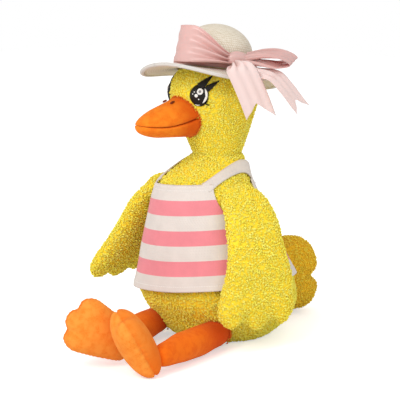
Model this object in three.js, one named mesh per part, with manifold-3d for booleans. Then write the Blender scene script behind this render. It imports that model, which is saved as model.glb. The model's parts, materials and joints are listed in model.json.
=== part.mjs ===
// A sitting plush duck in a striped summer top and a brimmed hat with a satin bow.
// Millimetres, +Z up. The duck faces -Y, its left side is +X, and the origin is the middle of the
// flat seat that it sits on.

import * as THREE from "three";
import { mergeVertices } from "three/addons/utils/BufferGeometryUtils.js";
import Module from "manifold-3d";

const wasm = await Module();
wasm.setup();

// Fits
const SEAM_GAP = 0.3; // between two pieces that are sewn or laid together
const SWING_GAP = 0.4; // round a ball that turns in its socket
const THROUGH = 2; // how far a cutting shape runs past the face that it opens

// Body, as radius and height of a turned outline
const SEAT_RADIUS = 47;
const LOW_SIDE_RADIUS = 70.5;
const LOW_SIDE_HEIGHT = 22;
const BELLY_RADIUS = 78.5;
const BELLY_HEIGHT = 57;
const CHEST_RADIUS = 58;
const CHEST_HEIGHT = 124;
const SHOULDER_RADIUS = 46.5;
const SHOULDER_HEIGHT = 157;
const SEAT_BACK = 6; // of the seat's middle
const SHOULDER_FORWARD = 20;
const NECK_FORWARD = 2.5;
const NECK_RADIUS = 24.5;
const NECK_HEIGHT = 184;
const FLEECE = 4.5; // backing and curly pile together
const BAG_RADIUS = 34; // the pellet bag that weights the seat
const BAG_HEIGHT = 24;

// Head, with heights above the neck seam
const HEAD_TURN = 12; // degrees that the head looks to the duck's right
const HEAD_FORWARD = 3.5; // of the neck
const THROAT_RADIUS = 30;
const THROAT_HEIGHT = 14;
const CHEEK_RADIUS = 44.5;
const CHEEK_HEIGHT = 54;
const BROW_RADIUS = 42.5;
const BROW_HEIGHT = 71;
const CAP_RADIUS = 33; // of the head under the hat
const CAP_HEIGHT = 85;
const HEAD_TOP_HEIGHT = 108;
const SHORT_FLEECE = 3.5;

// Beak, with heights above the neck seam
const BEAK_WIDTH = 42;
const BEAK_TIP_WIDTH = 34;
const BEAK_REACH = 90; // from the middle of the head to the tip
const BEAK_ROOT_REACH = 30;
const BEAK_TOP_HEIGHT = 66;
const BEAK_BOTTOM_HEIGHT = 18;
const BEAK_TIP_TOP_HEIGHT = 42;
const BEAK_TIP_BOTTOM_HEIGHT = 21;
const BEAK_ROUND_START = 0.62; // share of the beak's length where its tip begins to round
const MOUTH_HEIGHT = 31.7; // where the mouth line sags lowest
const MOUTH_CORNER_RISE = 7.3; // from there to the cheek
const MOUTH_TIP_RISE = 2;
const NOSTRIL_LENGTH = 7;
const NOSTRIL_WIDTH = 1.8;
const NOSTRIL_REACH = 55;
const NOSTRIL_SPREAD = 6.5;
const NOSTRIL_SLOPE = 24; // degrees
const NOSTRIL_DEEP = 1; // how far the stitch is pulled into the velour
const VELOUR = 2.2; // short orange pile

// Eyes
const EYE_WIDTH = 20;
const EYE_TALL = 22;
const EYE_PROUD = 1.6;
const EYE_ANGLE = 34; // degrees from the front of the head
const EYE_HEIGHT = 61;

// Wings
const WING_HEIGHT = 151;
const WING_ANGLE = 84; // degrees from the front to each wing's root
const LEFT_WING_HEADING = 67; // degrees from the front that the wing points away to
const RIGHT_WING_HEADING = 90;
const WING_LENGTH = 138;
const WING_ROOT_WIDTH = 38;
const WING_END_WIDTH = 80;
const WING_THICK = 21;
const WING_LOBE = 9; // depth of the scallops at the end
const WING_BALL = 15; // radius of the gathered root
const RIGHT_WING_RAISE = 19; // degrees more than the left wing at rest
const WING_RANGE = 75; // degrees that the left wing lifts
const RIGHT_WING_LOWER = 15;

// Tail
const TAIL_REACH = 147;
const TAIL_TOP = 82;
const TAIL_BOTTOM = 2;
const TAIL_THICK = 58;
const TAIL_NOTCH = 7;
const TAIL_ROOT = 60;

// Legs and feet
const HIP_HEIGHT = 15;
const HIP_ANGLE = 38; // degrees from the front
const HIP_BALL = 12;
const LEG_LENGTH = 106;
const LEG_RADIUS = 14;
const ANKLE_BALL = 10.5;
const LEG_RAISE = 20; // degrees until the thigh meets the hem
const LEG_DANGLE = 75;
const FOOT_LENGTH = 70;
const FOOT_WIDTH = 52;
const FOOT_THICK = 33;
const HEEL_DROP = 11; // from the ankle to the end of the heel
const TOE_NOTCH = 6;
const ANKLE_RANGE = 12;
const FLOOR_FLAT = 0.5; // how deep each foot is pressed flat where it meets the floor
// the right foot is held off the floor by its leg
const LEFT_LEG = { yaw: 11.5, lift: 0, footYaw: -45, footPitch: 29, footRoll: 0 };
const RIGHT_LEG = { yaw: 21, lift: 5, footYaw: 42, footPitch: 0, footRoll: -60 };

// Striped top
const TOP_THICK = 1.6;
const TOP_HEM_HEIGHT = 52;
const TOP_EDGE_HEIGHT = 158;
const HEM_FLARE = 4;
const HEM_FLARE_HEIGHT = 30;
const ARMHOLE_RADIUS = 27;
const STRAP_WIDTH = 9;
const STRAP_SPREAD = 31; // from the middle to each strap

// Hat, with heights along its own axis from the middle of the head
const HAT_TILT = 10.5; // degrees
const HAT_TILT_ANGLE = 22; // degrees from the front to the raised side of the brim
const CROWN_RADIUS = 40; // at the brim
const DOME_RADIUS = 37;
const CROWN_HEIGHT = 74;
const HAT_FORWARD = 3; // of the head's middle
const CROWN_WALL_HEIGHT = 42; // where the upright wall turns into the dome
const HAT_CLOTH = 2;
const BRIM_RADIUS = 73;
const BRIM_HEIGHT = 25.5;
const BRIM_DROOP = 5;
const BRIM_WAVE = 4;
const BRIM_WAVES = 3;
const BRIM_WAVE_ANGLE = 12;
const PIPING = 1.7; // radius of the bound rim
const BAND_HEIGHT = 9;
const BAND_THICK = 1;

// Bow of satin ribbon
const RIBBON_WIDTH = 38;
const RIBBON_THICK = 0.9;
const KNOT_ANGLE = 80; // degrees from the front of the head to the knot
const KNOT_HEIGHT = 37;
const KNOT_LONG = 23;
const KNOT_TALL = 15;
const KNOT_THICK = 12;
const PINCHED_WIDTH = 11; // of the ribbon where it enters the knot
const LOOP_LEAN = 16; // degrees that the front loop leans in to the crown
const LOOP_MIDDLE = 45; // degrees from the knot to the middle of the front loop
const NOTCH_DEPTH = 15;
const NOTCH_TIP = 1.5; // width left at each point of a cut end

// Finishes
const fleeceYellow = cloth("#f2d81f", 0.95);
const tailYellow = cloth("#e3c81c", 0.95);
const fibreWhite = cloth("#f4f2ec", 1);
const bagCloth = cloth("#d8d2c4", 0.95);
const velourOrange = cloth("#f58a1f", 0.9);
const threadBlack = cloth("#141210", 0.6);
const threadBrown = cloth("#6b2b1c", 0.7);
const knitPink = cloth("#f9a3aa", 0.9);
const knitWhite = cloth("#f6f1ec", 0.9);
const linenBeige = cloth("#ddd3bb", 0.9);
const bindingWhite = cloth("#f3efe6", 0.85);
const satinPink = cloth("#f6cdc9", 0.35);

// Facets: the inside of a skin and its stuffing have half as many as the outside
const BODY_STEPS = 10;
const BODY_SEGMENTS = 24;
const HEAD_STEPS = 10;
const HEAD_SEGMENTS = 24;
const HAT_SEGMENTS = 30;
const DOME_STEPS = 5;
const BRIM_STEPS = 36;
const RIM_SIDES = 6;
const BEAK_STEPS = 6;
const BEAK_SIDES = 14;
const BALL_SIDES = 12;
const BALL_RINGS = 7;

const degrees = THREE.MathUtils.degToRad;
const duck = new THREE.Group();

function cloth(color, roughness) {
  return new THREE.MeshStandardMaterial({ color, roughness, metalness: 0 });
}

// A closed geometry as a solid that can be cut and joined.
function solid(geometry) {
  const bare = new THREE.BufferGeometry();
  const source = geometry.index ? geometry.toNonIndexed() : geometry;
  bare.setAttribute("position", source.getAttribute("position"));
  const merged = mergeVertices(bare, 1e-4);
  const corners = merged.index.array;
  const kept = [];
  for (let i = 0; i < corners.length; i += 3) {
    const [a, b, c] = corners.slice(i, i + 3);
    if (a !== b && b !== c && c !== a) kept.push(a, b, c);
  }
  const vertProperties = merged.getAttribute("position").array;
  return new wasm.Manifold(
    new wasm.Mesh({ numProp: 3, vertProperties, triVerts: new Uint32Array(kept) }),
  );
}

function geometryOf(shape) {
  const { vertProperties, triVerts } = shape.getMesh();
  return new THREE.BufferGeometry()
    .setAttribute("position", new THREE.BufferAttribute(vertProperties, 3))
    .setIndex(new THREE.BufferAttribute(triVerts, 1));
}

function add(parent, name, shape, material) {
  const mesh = new THREE.Mesh(geometryOf(shape), material);
  mesh.name = name;
  parent.add(mesh);
}

// A frame inside another: a group at a place, turned about Z, then Y, then X.
function frame(parent, place, turnX, turnY, turnZ) {
  const group = new THREE.Group();
  group.position.copy(place);
  group.rotation.set(degrees(turnX), degrees(turnY), degrees(turnZ), "ZYX");
  parent.add(group);
  group.updateMatrixWorld(true);
  return group;
}

// A geometry given in one frame, as seen from another.
function seenFrom(target, geometry, source = duck) {
  const into = target.matrixWorld.clone().invert().multiply(source.matrixWorld);
  return geometry.clone().applyMatrix4(into);
}

// A closed surface through rings of points that all run the same way round.
function loft(rings, start = middle(rings[0]), end = middle(rings.at(-1))) {
  const round = rings[0].length;
  const points = [start, ...rings.flat(), end];
  const last = points.length - 1;
  const faces = [];
  for (let j = 0; j < round; j++) {
    const next = (j + 1) % round;
    faces.push(0, 1 + next, 1 + j);
    faces.push(last, last - round + j, last - round + next);
    for (let k = 0; k + 1 < rings.length; k++) {
      const a = 1 + k * round;
      const b = a + round;
      faces.push(a + j, a + next, b + next, a + j, b + next, b + j);
    }
  }
  return new THREE.BufferGeometry().setFromPoints(points).setIndex(faces);
}

// A ring of rings that closes on itself, such as a piped rim.
function hoop(rings) {
  const round = rings[0].length;
  const faces = [];
  for (let k = 0; k < rings.length; k++) {
    const a = k * round;
    const b = ((k + 1) % rings.length) * round;
    for (let j = 0; j < round; j++) {
      const next = (j + 1) % round;
      faces.push(a + j, a + next, b + next, a + j, b + next, b + j);
    }
  }
  return new THREE.BufferGeometry().setFromPoints(rings.flat()).setIndex(faces);
}

function middle(points) {
  const sum = points.reduce((total, point) => total.add(point), new THREE.Vector3());
  return sum.divideScalar(points.length);
}

function ball(radius, x = 0, y = 0, z = 0) {
  return new THREE.SphereGeometry(radius, BALL_SIDES, BALL_RINGS).translate(x, y, z);
}

// A ball to cut a socket with, whose flat facets stay outside the radius.
function socketBall(radius, x, y, z) {
  const facet = Math.cos(Math.PI / BALL_SIDES) * Math.cos(Math.PI / (2 * BALL_RINGS));
  return ball(radius / facet, x, y, z);
}

// A turned solid about Z from a list of radius and height.
function turned(profile, segments) {
  return new THREE.LatheGeometry(profile, segments).rotateX(Math.PI / 2);
}

// A turned form with each height moved back by its lean.
function leaned(form, lean) {
  const points = form.getAttribute("position");
  for (let i = 0; i < points.count; i++) {
    points.setY(i, points.getY(i) + lean(points.getZ(i)));
  }
  return form;
}

// Points along a smooth side, moved out by an offset and kept between two heights.
function sidePoints(curve, steps, offset, lowest, highest) {
  const points = [];
  for (let i = 0; i <= steps; i++) {
    const at = curve.getPoint(i / steps);
    const along = curve.getTangent(i / steps);
    const radius = Math.max(at.x + offset * along.y, 0);
    const height = THREE.MathUtils.clamp(at.y - offset * along.x, lowest, highest);
    points.push(new THREE.Vector2(radius, height));
  }
  return points;
}

// Lays a form drawn in XY on edge, so that its own axes become Y and Z and its thickness X.
function onEdge(form) {
  const basis = new THREE.Matrix4().makeBasis(
    new THREE.Vector3(0, 1, 0), new THREE.Vector3(0, 0, 1), new THREE.Vector3(1, 0, 0),
  );
  return form.applyMatrix4(basis);
}

// A pillow over a flat outline in XY, swollen towards the middle, with its rim in the plane Z = 0.
function pillow(outline, centre, thick, inset = 0) {
  const half = thick / 2 - inset;
  const rings = [-60, -28, 0, 28, 60].map((angle) => {
    const share = Math.cos(degrees(angle)) ** 0.6;
    const height = half * Math.sin(degrees(angle));
    return outline.map((point) => {
      const out = point.clone().sub(centre);
      out.setLength((out.length() - inset) * share).add(centre);
      return new THREE.Vector3(out.x, out.y, height);
    });
  });
  const pole = (height) => new THREE.Vector3(centre.x, centre.y, height);
  return loft(rings, pole(-half), pole(half));
}

// A flat ribbon through stations of place, direction across, and width.
function ribbon(stations) {
  const rings = stations.map(({ place, across, width }, i) => {
    const before = stations[Math.max(i - 1, 0)].place;
    const after = stations[Math.min(i + 1, stations.length - 1)].place;
    const along = after.clone().sub(before).normalize();
    const side = across.clone().normalize();
    const face = along.clone().cross(side).normalize();
    const corner = (s, f) =>
      place
        .clone()
        .addScaledVector(side, (s * width) / 2)
        .addScaledVector(face, (f * RIBBON_THICK) / 2);
    return [corner(1, 1), corner(-1, 1), corner(-1, -1), corner(1, -1)];
  });
  return loft(rings);
}

// A skin open at its mouth, and the stuffing that fills it.
function addStuffed(parent, name, form, skinThick, mouth, skinMaterial) {
  const skin = form(0).subtract(form(skinThick)).subtract(mouth);
  add(parent, name + "_skin", skin, skinMaterial);
  add(parent, name + "_stuffing", form(skinThick + SEAM_GAP), fibreWhite);
}

// Body
const bodySide = new THREE.SplineCurve([
  new THREE.Vector2(SEAT_RADIUS, 0),
  new THREE.Vector2(LOW_SIDE_RADIUS, LOW_SIDE_HEIGHT),
  new THREE.Vector2(BELLY_RADIUS, BELLY_HEIGHT),
  new THREE.Vector2(CHEST_RADIUS, CHEST_HEIGHT),
  new THREE.Vector2(SHOULDER_RADIUS, SHOULDER_HEIGHT),
  new THREE.Vector2(NECK_RADIUS, NECK_HEIGHT),
]);
// How far back the body's middle is at a height: the seat sits back and the shoulders come forward.
function bodyLean(height) {
  const { lerp, smoothstep } = THREE.MathUtils;
  const seat = SEAT_BACK * (1 - smoothstep(height, LOW_SIDE_HEIGHT, BELLY_HEIGHT));
  const rise = smoothstep(height, LOW_SIDE_HEIGHT, SHOULDER_HEIGHT);
  const toNeck = smoothstep(height, SHOULDER_HEIGHT, NECK_HEIGHT);
  return seat - lerp(SHOULDER_FORWARD, NECK_FORWARD, toNeck) * rise;
}

function bodyForm(offset, top = NECK_HEIGHT, bottom = -offset, detail = 1) {
  const side = sidePoints(bodySide, BODY_STEPS * detail, offset, bottom, top);
  const rim = new THREE.Vector2(side.at(-1).x, top);
  const seat = new THREE.Vector2(side[0].x, bottom);
  const axis = [new THREE.Vector2(0, bottom), new THREE.Vector2(0, top)];
  const profile = [axis[0], seat, ...side.slice(1, -1), rim, axis[1]];
  return leaned(turned(profile, BODY_SEGMENTS * detail), bodyLean);
}

// A place on the body's outside at an angle from the front towards the left.
function onBody(angle, height) {
  const fine = sidePoints(bodySide, 200, 0, 0, NECK_HEIGHT);
  const radius = fine.find((point) => point.y >= height).x;
  const turn = degrees(angle);
  const back = bodyLean(height) - radius * Math.cos(turn);
  return new THREE.Vector3(radius * Math.sin(turn), back, height);
}

const wingPlaces = [onBody(WING_ANGLE, WING_HEIGHT), onBody(-WING_ANGLE, WING_HEIGHT)];
const hipPlaces = [onBody(HIP_ANGLE, HIP_HEIGHT), onBody(-HIP_ANGLE, HIP_HEIGHT)];

function sockets() {
  const wings = wingPlaces.map((at) => solid(socketBall(WING_BALL + SWING_GAP, at.x, at.y, at.z)));
  const hips = hipPlaces.map((at) => solid(socketBall(HIP_BALL + SWING_GAP, at.x, at.y, at.z)));
  return [...wings, ...hips].reduce((all, one) => all.add(one));
}

function pelletBag(offset) {
  const low = FLEECE + SEAM_GAP;
  const round = new THREE.SplineCurve([
    new THREE.Vector2(BAG_RADIUS - SEAM_GAP, low),
    new THREE.Vector2(BAG_RADIUS + offset, low + BAG_HEIGHT * 0.45),
    new THREE.Vector2(BAG_RADIUS * 0.55, low + BAG_HEIGHT + offset),
    new THREE.Vector2(0, low + BAG_HEIGHT * 0.95 + offset),
  ]);
  const floor = low - (offset > 0 ? THROUGH : 0);
  const seat = [new THREE.Vector2(0, floor), new THREE.Vector2(BAG_RADIUS - SEAM_GAP, floor)];
  return turned([...seat, ...round.getPoints(5)], BODY_SEGMENTS / 2);
}

function addBody() {
  const cavity = solid(bodyForm(-FLEECE, NECK_HEIGHT + THROUGH, FLEECE, 0.5));
  const skin = solid(bodyForm(0)).subtract(cavity).subtract(sockets());
  const inner = -FLEECE - SEAM_GAP;
  const stuffing = solid(bodyForm(inner, NECK_HEIGHT, -inner, 0.5))
    .subtract(solid(pelletBag(SEAM_GAP)))
    .subtract(sockets());
  add(duck, "body_skin", skin, fleeceYellow);
  add(duck, "body_stuffing", stuffing, fibreWhite);
  add(duck, "pellet_bag", solid(pelletBag(0)), bagCloth);
}

// The body's side moved out by an offset and by the flare of the top's hem.
function flaredSide(offset) {
  return sidePoints(bodySide, BODY_STEPS, offset, 0, NECK_HEIGHT).map((point) => {
    const below = THREE.MathUtils.clamp(
      (TOP_HEM_HEIGHT + HEM_FLARE_HEIGHT - point.y) / HEM_FLARE_HEIGHT, 0, 1);
    return new THREE.Vector2(point.x + HEM_FLARE * below ** 2, point.y);
  });
}

function dressedBody(offset) {
  const ends = [new THREE.Vector2(0, 0), new THREE.Vector2(0, NECK_HEIGHT)];
  return leaned(turned([ends[0], ...flaredSide(offset), ends[1]], BODY_SEGMENTS), bodyLean);
}

// Tail: a plump lobed pad that stands on edge behind the body
function tailForm(inset) {
  const rise = TAIL_TOP - TAIL_BOTTOM;
  const outline = new THREE.SplineCurve([
    new THREE.Vector2(TAIL_ROOT, TAIL_BOTTOM + rise * 0.12),
    new THREE.Vector2(TAIL_REACH * 0.86, TAIL_BOTTOM),
    new THREE.Vector2(TAIL_REACH, TAIL_BOTTOM + rise * 0.26),
    new THREE.Vector2(TAIL_REACH - TAIL_NOTCH, TAIL_BOTTOM + rise * 0.46),
    new THREE.Vector2(TAIL_REACH - TAIL_NOTCH * 0.3, TAIL_BOTTOM + rise * 0.68),
    new THREE.Vector2(TAIL_REACH * 0.84, TAIL_TOP),
    new THREE.Vector2(TAIL_ROOT, TAIL_TOP - rise * 0.1),
  ]).getPoints(inset > 0 ? 11 : 22);
  const centre = new THREE.Vector2((TAIL_ROOT + TAIL_REACH) / 2, (TAIL_TOP + TAIL_BOTTOM) / 2);
  return solid(onEdge(pillow(outline, centre, TAIL_THICK, inset)));
}

function addTail() {
  const seat = solid(bodyForm(SEAM_GAP));
  const openSeat = solid(bodyForm(SEAM_GAP - THROUGH));
  const skin = tailForm(0).subtract(seat).subtract(tailForm(FLEECE).subtract(openSeat));
  add(duck, "tail_skin", skin, tailYellow);
  add(duck, "tail_stuffing", tailForm(FLEECE + SEAM_GAP).subtract(seat), fibreWhite);
}

// Head, in a frame at the neck seam
const neck = new THREE.Vector3(0, -NECK_FORWARD, NECK_HEIGHT + SEAM_GAP);
const headFrame = frame(duck, neck, 0, 0, -HEAD_TURN);
const headSide = new THREE.SplineCurve([
  new THREE.Vector2(NECK_RADIUS, 0),
  new THREE.Vector2(THROAT_RADIUS, THROAT_HEIGHT),
  new THREE.Vector2(CHEEK_RADIUS, CHEEK_HEIGHT),
  new THREE.Vector2(BROW_RADIUS, BROW_HEIGHT),
  new THREE.Vector2(CAP_RADIUS, CAP_HEIGHT),
  new THREE.Vector2(0, HEAD_TOP_HEIGHT),
]);
// How far forward the head's middle is at a height above the neck seam.
function headLean(height) {
  return -HEAD_FORWARD * THREE.MathUtils.smoothstep(height, 0, CHEEK_HEIGHT);
}

function headForm(offset, bottom = 0) {
  const detail = offset < 0 ? 0.5 : 1;
  const side = sidePoints(headSide, HEAD_STEPS * detail, offset, bottom, HEAD_TOP_HEIGHT + offset);
  side[side.length - 1].x = 0;
  const rim = new THREE.Vector2(side[0].x, bottom);
  const profile = [new THREE.Vector2(0, bottom), rim, ...side.slice(1)];
  const form = turned(profile, HEAD_SEGMENTS * detail);
  return solid(leaned(form, headLean));
}

function addHead() {
  const skin = headForm(0).subtract(headForm(-SHORT_FLEECE, -THROUGH));
  add(headFrame, "head_skin", skin, fleeceYellow);
  add(headFrame, "head_stuffing", headForm(-SHORT_FLEECE - SEAM_GAP), fibreWhite);
}

// Beak: a rounded wedge in rings from the head to the tip, parted at the mouth
function beakForm(inset) {
  const rings = [];
  for (let i = 0; i <= BEAK_STEPS; i++) {
    const run = Math.sin((i / BEAK_STEPS) * (Math.PI / 2));
    const reach = THREE.MathUtils.lerp(BEAK_ROOT_REACH, BEAK_REACH - inset, run);
    const pastRound = Math.max(run - BEAK_ROUND_START, 0) / (1 - BEAK_ROUND_START);
    const tipRound = Math.sqrt(Math.max(1 - pastRound ** 2, 0));
    const width = THREE.MathUtils.lerp(BEAK_WIDTH, BEAK_TIP_WIDTH, run) * (0.25 + 0.75 * tipRound);
    const top = THREE.MathUtils.lerp(BEAK_TOP_HEIGHT, BEAK_TIP_TOP_HEIGHT, run ** 0.8);
    const bottom = THREE.MathUtils.lerp(BEAK_BOTTOM_HEIGHT, BEAK_TIP_BOTTOM_HEIGHT, run);
    const height = (top + bottom) / 2;
    const tall = (top - bottom) * (0.3 + 0.7 * tipRound);
    const ring = [];
    for (let j = 0; j < BEAK_SIDES; j++) {
      const turn = (j / BEAK_SIDES) * 2 * Math.PI;
      ring.push(new THREE.Vector3(
        (width / 2 - inset) * Math.cos(turn),
        -HEAD_FORWARD - reach,
        height + (tall / 2 - inset) * Math.sin(turn),
      ));
    }
    rings.push(ring);
  }
  return solid(loft(rings));
}

// Everything above the mouth line, raised by a gap.
function aboveMouth(raise) {
  const high = BEAK_TOP_HEIGHT + THROUGH;
  const corner = MOUTH_HEIGHT + MOUTH_CORNER_RISE + raise;
  const tip = MOUTH_HEIGHT + MOUTH_TIP_RISE + raise;
  const pull = 2 * (MOUTH_HEIGHT + raise) - (corner + tip) / 2;
  const line = new THREE.QuadraticBezierCurve(
    new THREE.Vector2(-HEAD_FORWARD - BEAK_ROOT_REACH, corner),
    new THREE.Vector2(-HEAD_FORWARD - BEAK_REACH * 0.68, pull),
    new THREE.Vector2(-HEAD_FORWARD - BEAK_REACH - THROUGH, tip),
  );
  const outline = new THREE.Shape([
    new THREE.Vector2(-HEAD_FORWARD - BEAK_REACH - THROUGH, high),
    new THREE.Vector2(-HEAD_FORWARD, high),
    new THREE.Vector2(-HEAD_FORWARD, corner),
    ...line.getPoints(6),
  ]);
  const wide = BEAK_WIDTH + 2 * THROUGH;
  const block = new THREE.ExtrudeGeometry(outline, { depth: wide, bevelEnabled: false });
  return solid(onEdge(block).translate(-wide / 2, 0, 0));
}

function addBeak() {
  const seat = headForm(SEAM_GAP);
  const form = beakForm(0).subtract(beakForm(VELOUR)).subtract(seat);
  add(headFrame, "beak_upper", form.intersect(aboveMouth(SEAM_GAP)), velourOrange);
  add(headFrame, "beak_lower", form.subtract(aboveMouth(0)), velourOrange);
  const filling = beakForm(VELOUR + SEAM_GAP).subtract(seat);
  add(headFrame, "beak_stuffing", filling, fibreWhite);
}

function addFace() {
  const seat = headForm(SEAM_GAP);
  const beak = beakForm(-SEAM_GAP);
  for (const [side, name] of [[1, "left"], [-1, "right"]]) {
    const turn = degrees(EYE_ANGLE * side);
    const eye = new THREE.SphereGeometry(1, 14, 6);
    eye.scale(EYE_WIDTH / 2, EYE_PROUD + THROUGH, EYE_TALL / 2);
    eye.translate(0, -CHEEK_RADIUS + THROUGH, 0).rotateZ(turn);
    eye.translate(0, -HEAD_FORWARD, EYE_HEIGHT);
    add(headFrame, "eye_" + name, solid(eye).subtract(seat).subtract(beak), threadBlack);
    const slope = THREE.MathUtils.lerp(BEAK_TOP_HEIGHT, BEAK_TIP_TOP_HEIGHT,
      ((NOSTRIL_REACH - BEAK_ROOT_REACH) / (BEAK_REACH - BEAK_ROOT_REACH)) ** 0.8);
    const stitch = new THREE.SphereGeometry(1, 8, 5);
    stitch.scale(NOSTRIL_WIDTH / 2, NOSTRIL_LENGTH / 2, NOSTRIL_WIDTH * 1.2);
    stitch.rotateX(degrees(NOSTRIL_SLOPE));
    stitch.translate(side * NOSTRIL_SPREAD, -HEAD_FORWARD - NOSTRIL_REACH, slope - NOSTRIL_DEEP);
    add(headFrame, "nostril_" + name, solid(stitch).subtract(beak), threadBrown);
  }
}

// Wings: a scalloped paddle that hangs from a gathered root
function wingOutline(count) {
  const root = WING_ROOT_WIDTH / 2;
  const end = WING_END_WIDTH / 2;
  const side = (y, along) => new THREE.Vector2(y, along * WING_LENGTH);
  const right = [
    side(root, 0.02), side(root * 1.3, 0.2), side(end * 0.69, 0.5), side(end * 0.93, 0.76),
    side(end, 0.88), side(end * 0.72, 0.975),
  ];
  const notch = new THREE.Vector2(end * 0.4, WING_LENGTH - WING_LOBE);
  const left = [notch, ...right.toReversed()].map((point) => new THREE.Vector2(-point.x, point.y));
  const tip = new THREE.Vector2(0, WING_LENGTH);
  const top = new THREE.Vector2(0, -root * 0.4);
  return new THREE.SplineCurve([top, ...right, notch, tip, ...left, top]).getPoints(count).slice(1);
}

// The wing's middle line from its root, out over the shoulder and down the side.
const wingLine = new THREE.CatmullRomCurve3([
  new THREE.Vector3(0, 0, 0),
  new THREE.Vector3(WING_LENGTH * 0.15, 0, -WING_LENGTH * 0.14),
  new THREE.Vector3(WING_LENGTH * 0.23, 0, -WING_LENGTH * 0.42),
  new THREE.Vector3(WING_LENGTH * 0.27, 0, -WING_LENGTH * 0.92),
]);

function bentWing(inset) {
  const centre = new THREE.Vector2(0, WING_LENGTH * 0.62);
  const form = pillow(wingOutline(inset > 0 ? 15 : 30), centre, WING_THICK, inset);
  const points = form.getAttribute("position");
  const at = new THREE.Vector3();
  for (let i = 0; i < points.count; i++) {
    at.fromBufferAttribute(points, i);
    const along = THREE.MathUtils.clamp(at.y / WING_LENGTH, 0, 1);
    const past = at.y - along * WING_LENGTH;
    const line = wingLine.getPointAt(along);
    const run = wingLine.getTangentAt(along);
    const out = new THREE.Vector3(-run.z, 0, run.x);
    line.addScaledVector(out, at.z).addScaledVector(run, past);
    points.setXYZ(i, line.x, -at.x, line.z);
  }
  return form;
}

// What a swinging limb may not reach: a form in the body's frame at each step of the swing.
function swept(limb, form, angles) {
  const still = seenFrom(limb.frame, form);
  const steps = angles.map((angle) => {
    const turn = new THREE.Matrix4().makeRotationAxis(limb.axis, -degrees(angle));
    return solid(still.clone().applyMatrix4(turn));
  });
  return steps.reduce((all, one) => all.add(one));
}

function addWing(name, place, heading, raise, lower, lift) {
  const wing = { frame: frame(duck, place, 0, -raise, heading), axis: new THREE.Vector3(0, -1, 0) };
  const angles = [0, (lift - lower) / 2, -lower, lift];
  const form = (inset) =>
    solid(bentWing(inset))
      .subtract(swept(wing, dressedBody(2 * SEAM_GAP + TOP_THICK + inset), angles))
      .add(solid(ball(WING_BALL - inset)));
  const mouth = new THREE.CylinderGeometry(WING_BALL / 2, WING_BALL / 2, WING_BALL + THROUGH, 12);
  mouth.translate(0, (WING_BALL + THROUGH) / 2, 0).rotateZ(Math.PI / 2);
  addStuffed(wing.frame, name, form, FLEECE, solid(mouth), fleeceYellow);
}

// Legs and feet
function legForm(inset) {
  const side = new THREE.SplineCurve([
    new THREE.Vector2(HIP_BALL - inset, 0),
    new THREE.Vector2(LEG_RADIUS - inset, LEG_LENGTH * 0.3),
    new THREE.Vector2(LEG_RADIUS - inset, LEG_LENGTH * 0.62),
    new THREE.Vector2(ANKLE_BALL - inset, LEG_LENGTH),
  ]);
  const start = new THREE.Vector2(0, 0);
  const end = new THREE.Vector2(0, LEG_LENGTH);
  const tube = new THREE.LatheGeometry([start, ...side.getPoints(4), end], inset > 0 ? 8 : 14);
  return tube.rotateZ(Math.PI);
}

function footOutline(count) {
  const half = FOOT_WIDTH / 2;
  const top = FOOT_LENGTH - HEEL_DROP;
  const right = [
    new THREE.Vector2(half * 0.55, -HEEL_DROP * 0.75),
    new THREE.Vector2(half * 0.78, top * 0.15),
    new THREE.Vector2(half * 0.95, top * 0.5),
    new THREE.Vector2(half, top * 0.72),
    new THREE.Vector2(half * 0.78, top * 0.88),
    new THREE.Vector2(half * 0.42, top - TOE_NOTCH),
    new THREE.Vector2(half * 0.25, top * 0.97),
  ];
  const left = right.toReversed().map((point) => new THREE.Vector2(-point.x, point.y));
  const heel = new THREE.Vector2(0, -HEEL_DROP);
  const toe = new THREE.Vector2(0, top);
  return new THREE.SplineCurve([heel, ...right, toe, ...left, heel]).getPoints(count).slice(1);
}

// The foot's solid about its ankle, turned as it rests.
function footForm(pose, inset) {
  // the outline's own axes become X and Z, and its back faces the leg
  const shape = new THREE.Vector2(0, (FOOT_LENGTH - 2 * HEEL_DROP) / 2);
  return pillow(footOutline(inset > 0 ? 14 : 28), shape, FOOT_THICK, inset)
    .rotateX(Math.PI / 2)
    .translate(0, VELOUR - FOOT_THICK / 2, 0)
    .rotateY(degrees(pose.footRoll))
    .rotateX(degrees(pose.footPitch))
    .rotateZ(degrees(pose.footYaw));
}

function addLeg(name, place, pose) {
  const foot = footForm(pose, 0);
  foot.computeBoundingBox();
  const ankleHeight = pose.lift - foot.boundingBox.min.z - FLOOR_FLAT;
  const rise = THREE.MathUtils.radToDeg(Math.asin((ankleHeight - HIP_HEIGHT) / LEG_LENGTH));
  const legFrame = frame(duck, place, -rise, 0, pose.yaw);
  const leg = { frame: legFrame, axis: new THREE.Vector3(-1, 0, 0) };
  const form = (inset) =>
    solid(legForm(inset))
      .subtract(swept(leg, bodyForm(SEAM_GAP + inset), [0, -LEG_DANGLE / 2, -LEG_DANGLE, LEG_RAISE]))
      .add(solid(ball(HIP_BALL - inset)))
      .add(solid(ball(ANKLE_BALL - inset, 0, -LEG_LENGTH, 0)));
  const mouth = new THREE.CylinderGeometry(HIP_BALL / 2, HIP_BALL / 2, HIP_BALL + THROUGH, 12);
  mouth.translate(0, (HIP_BALL + THROUGH) / 2, 0);
  addStuffed(legFrame, name + "_leg", form, VELOUR, solid(mouth), velourOrange);
  addFoot(name, leg, pose, rise);
}

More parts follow.
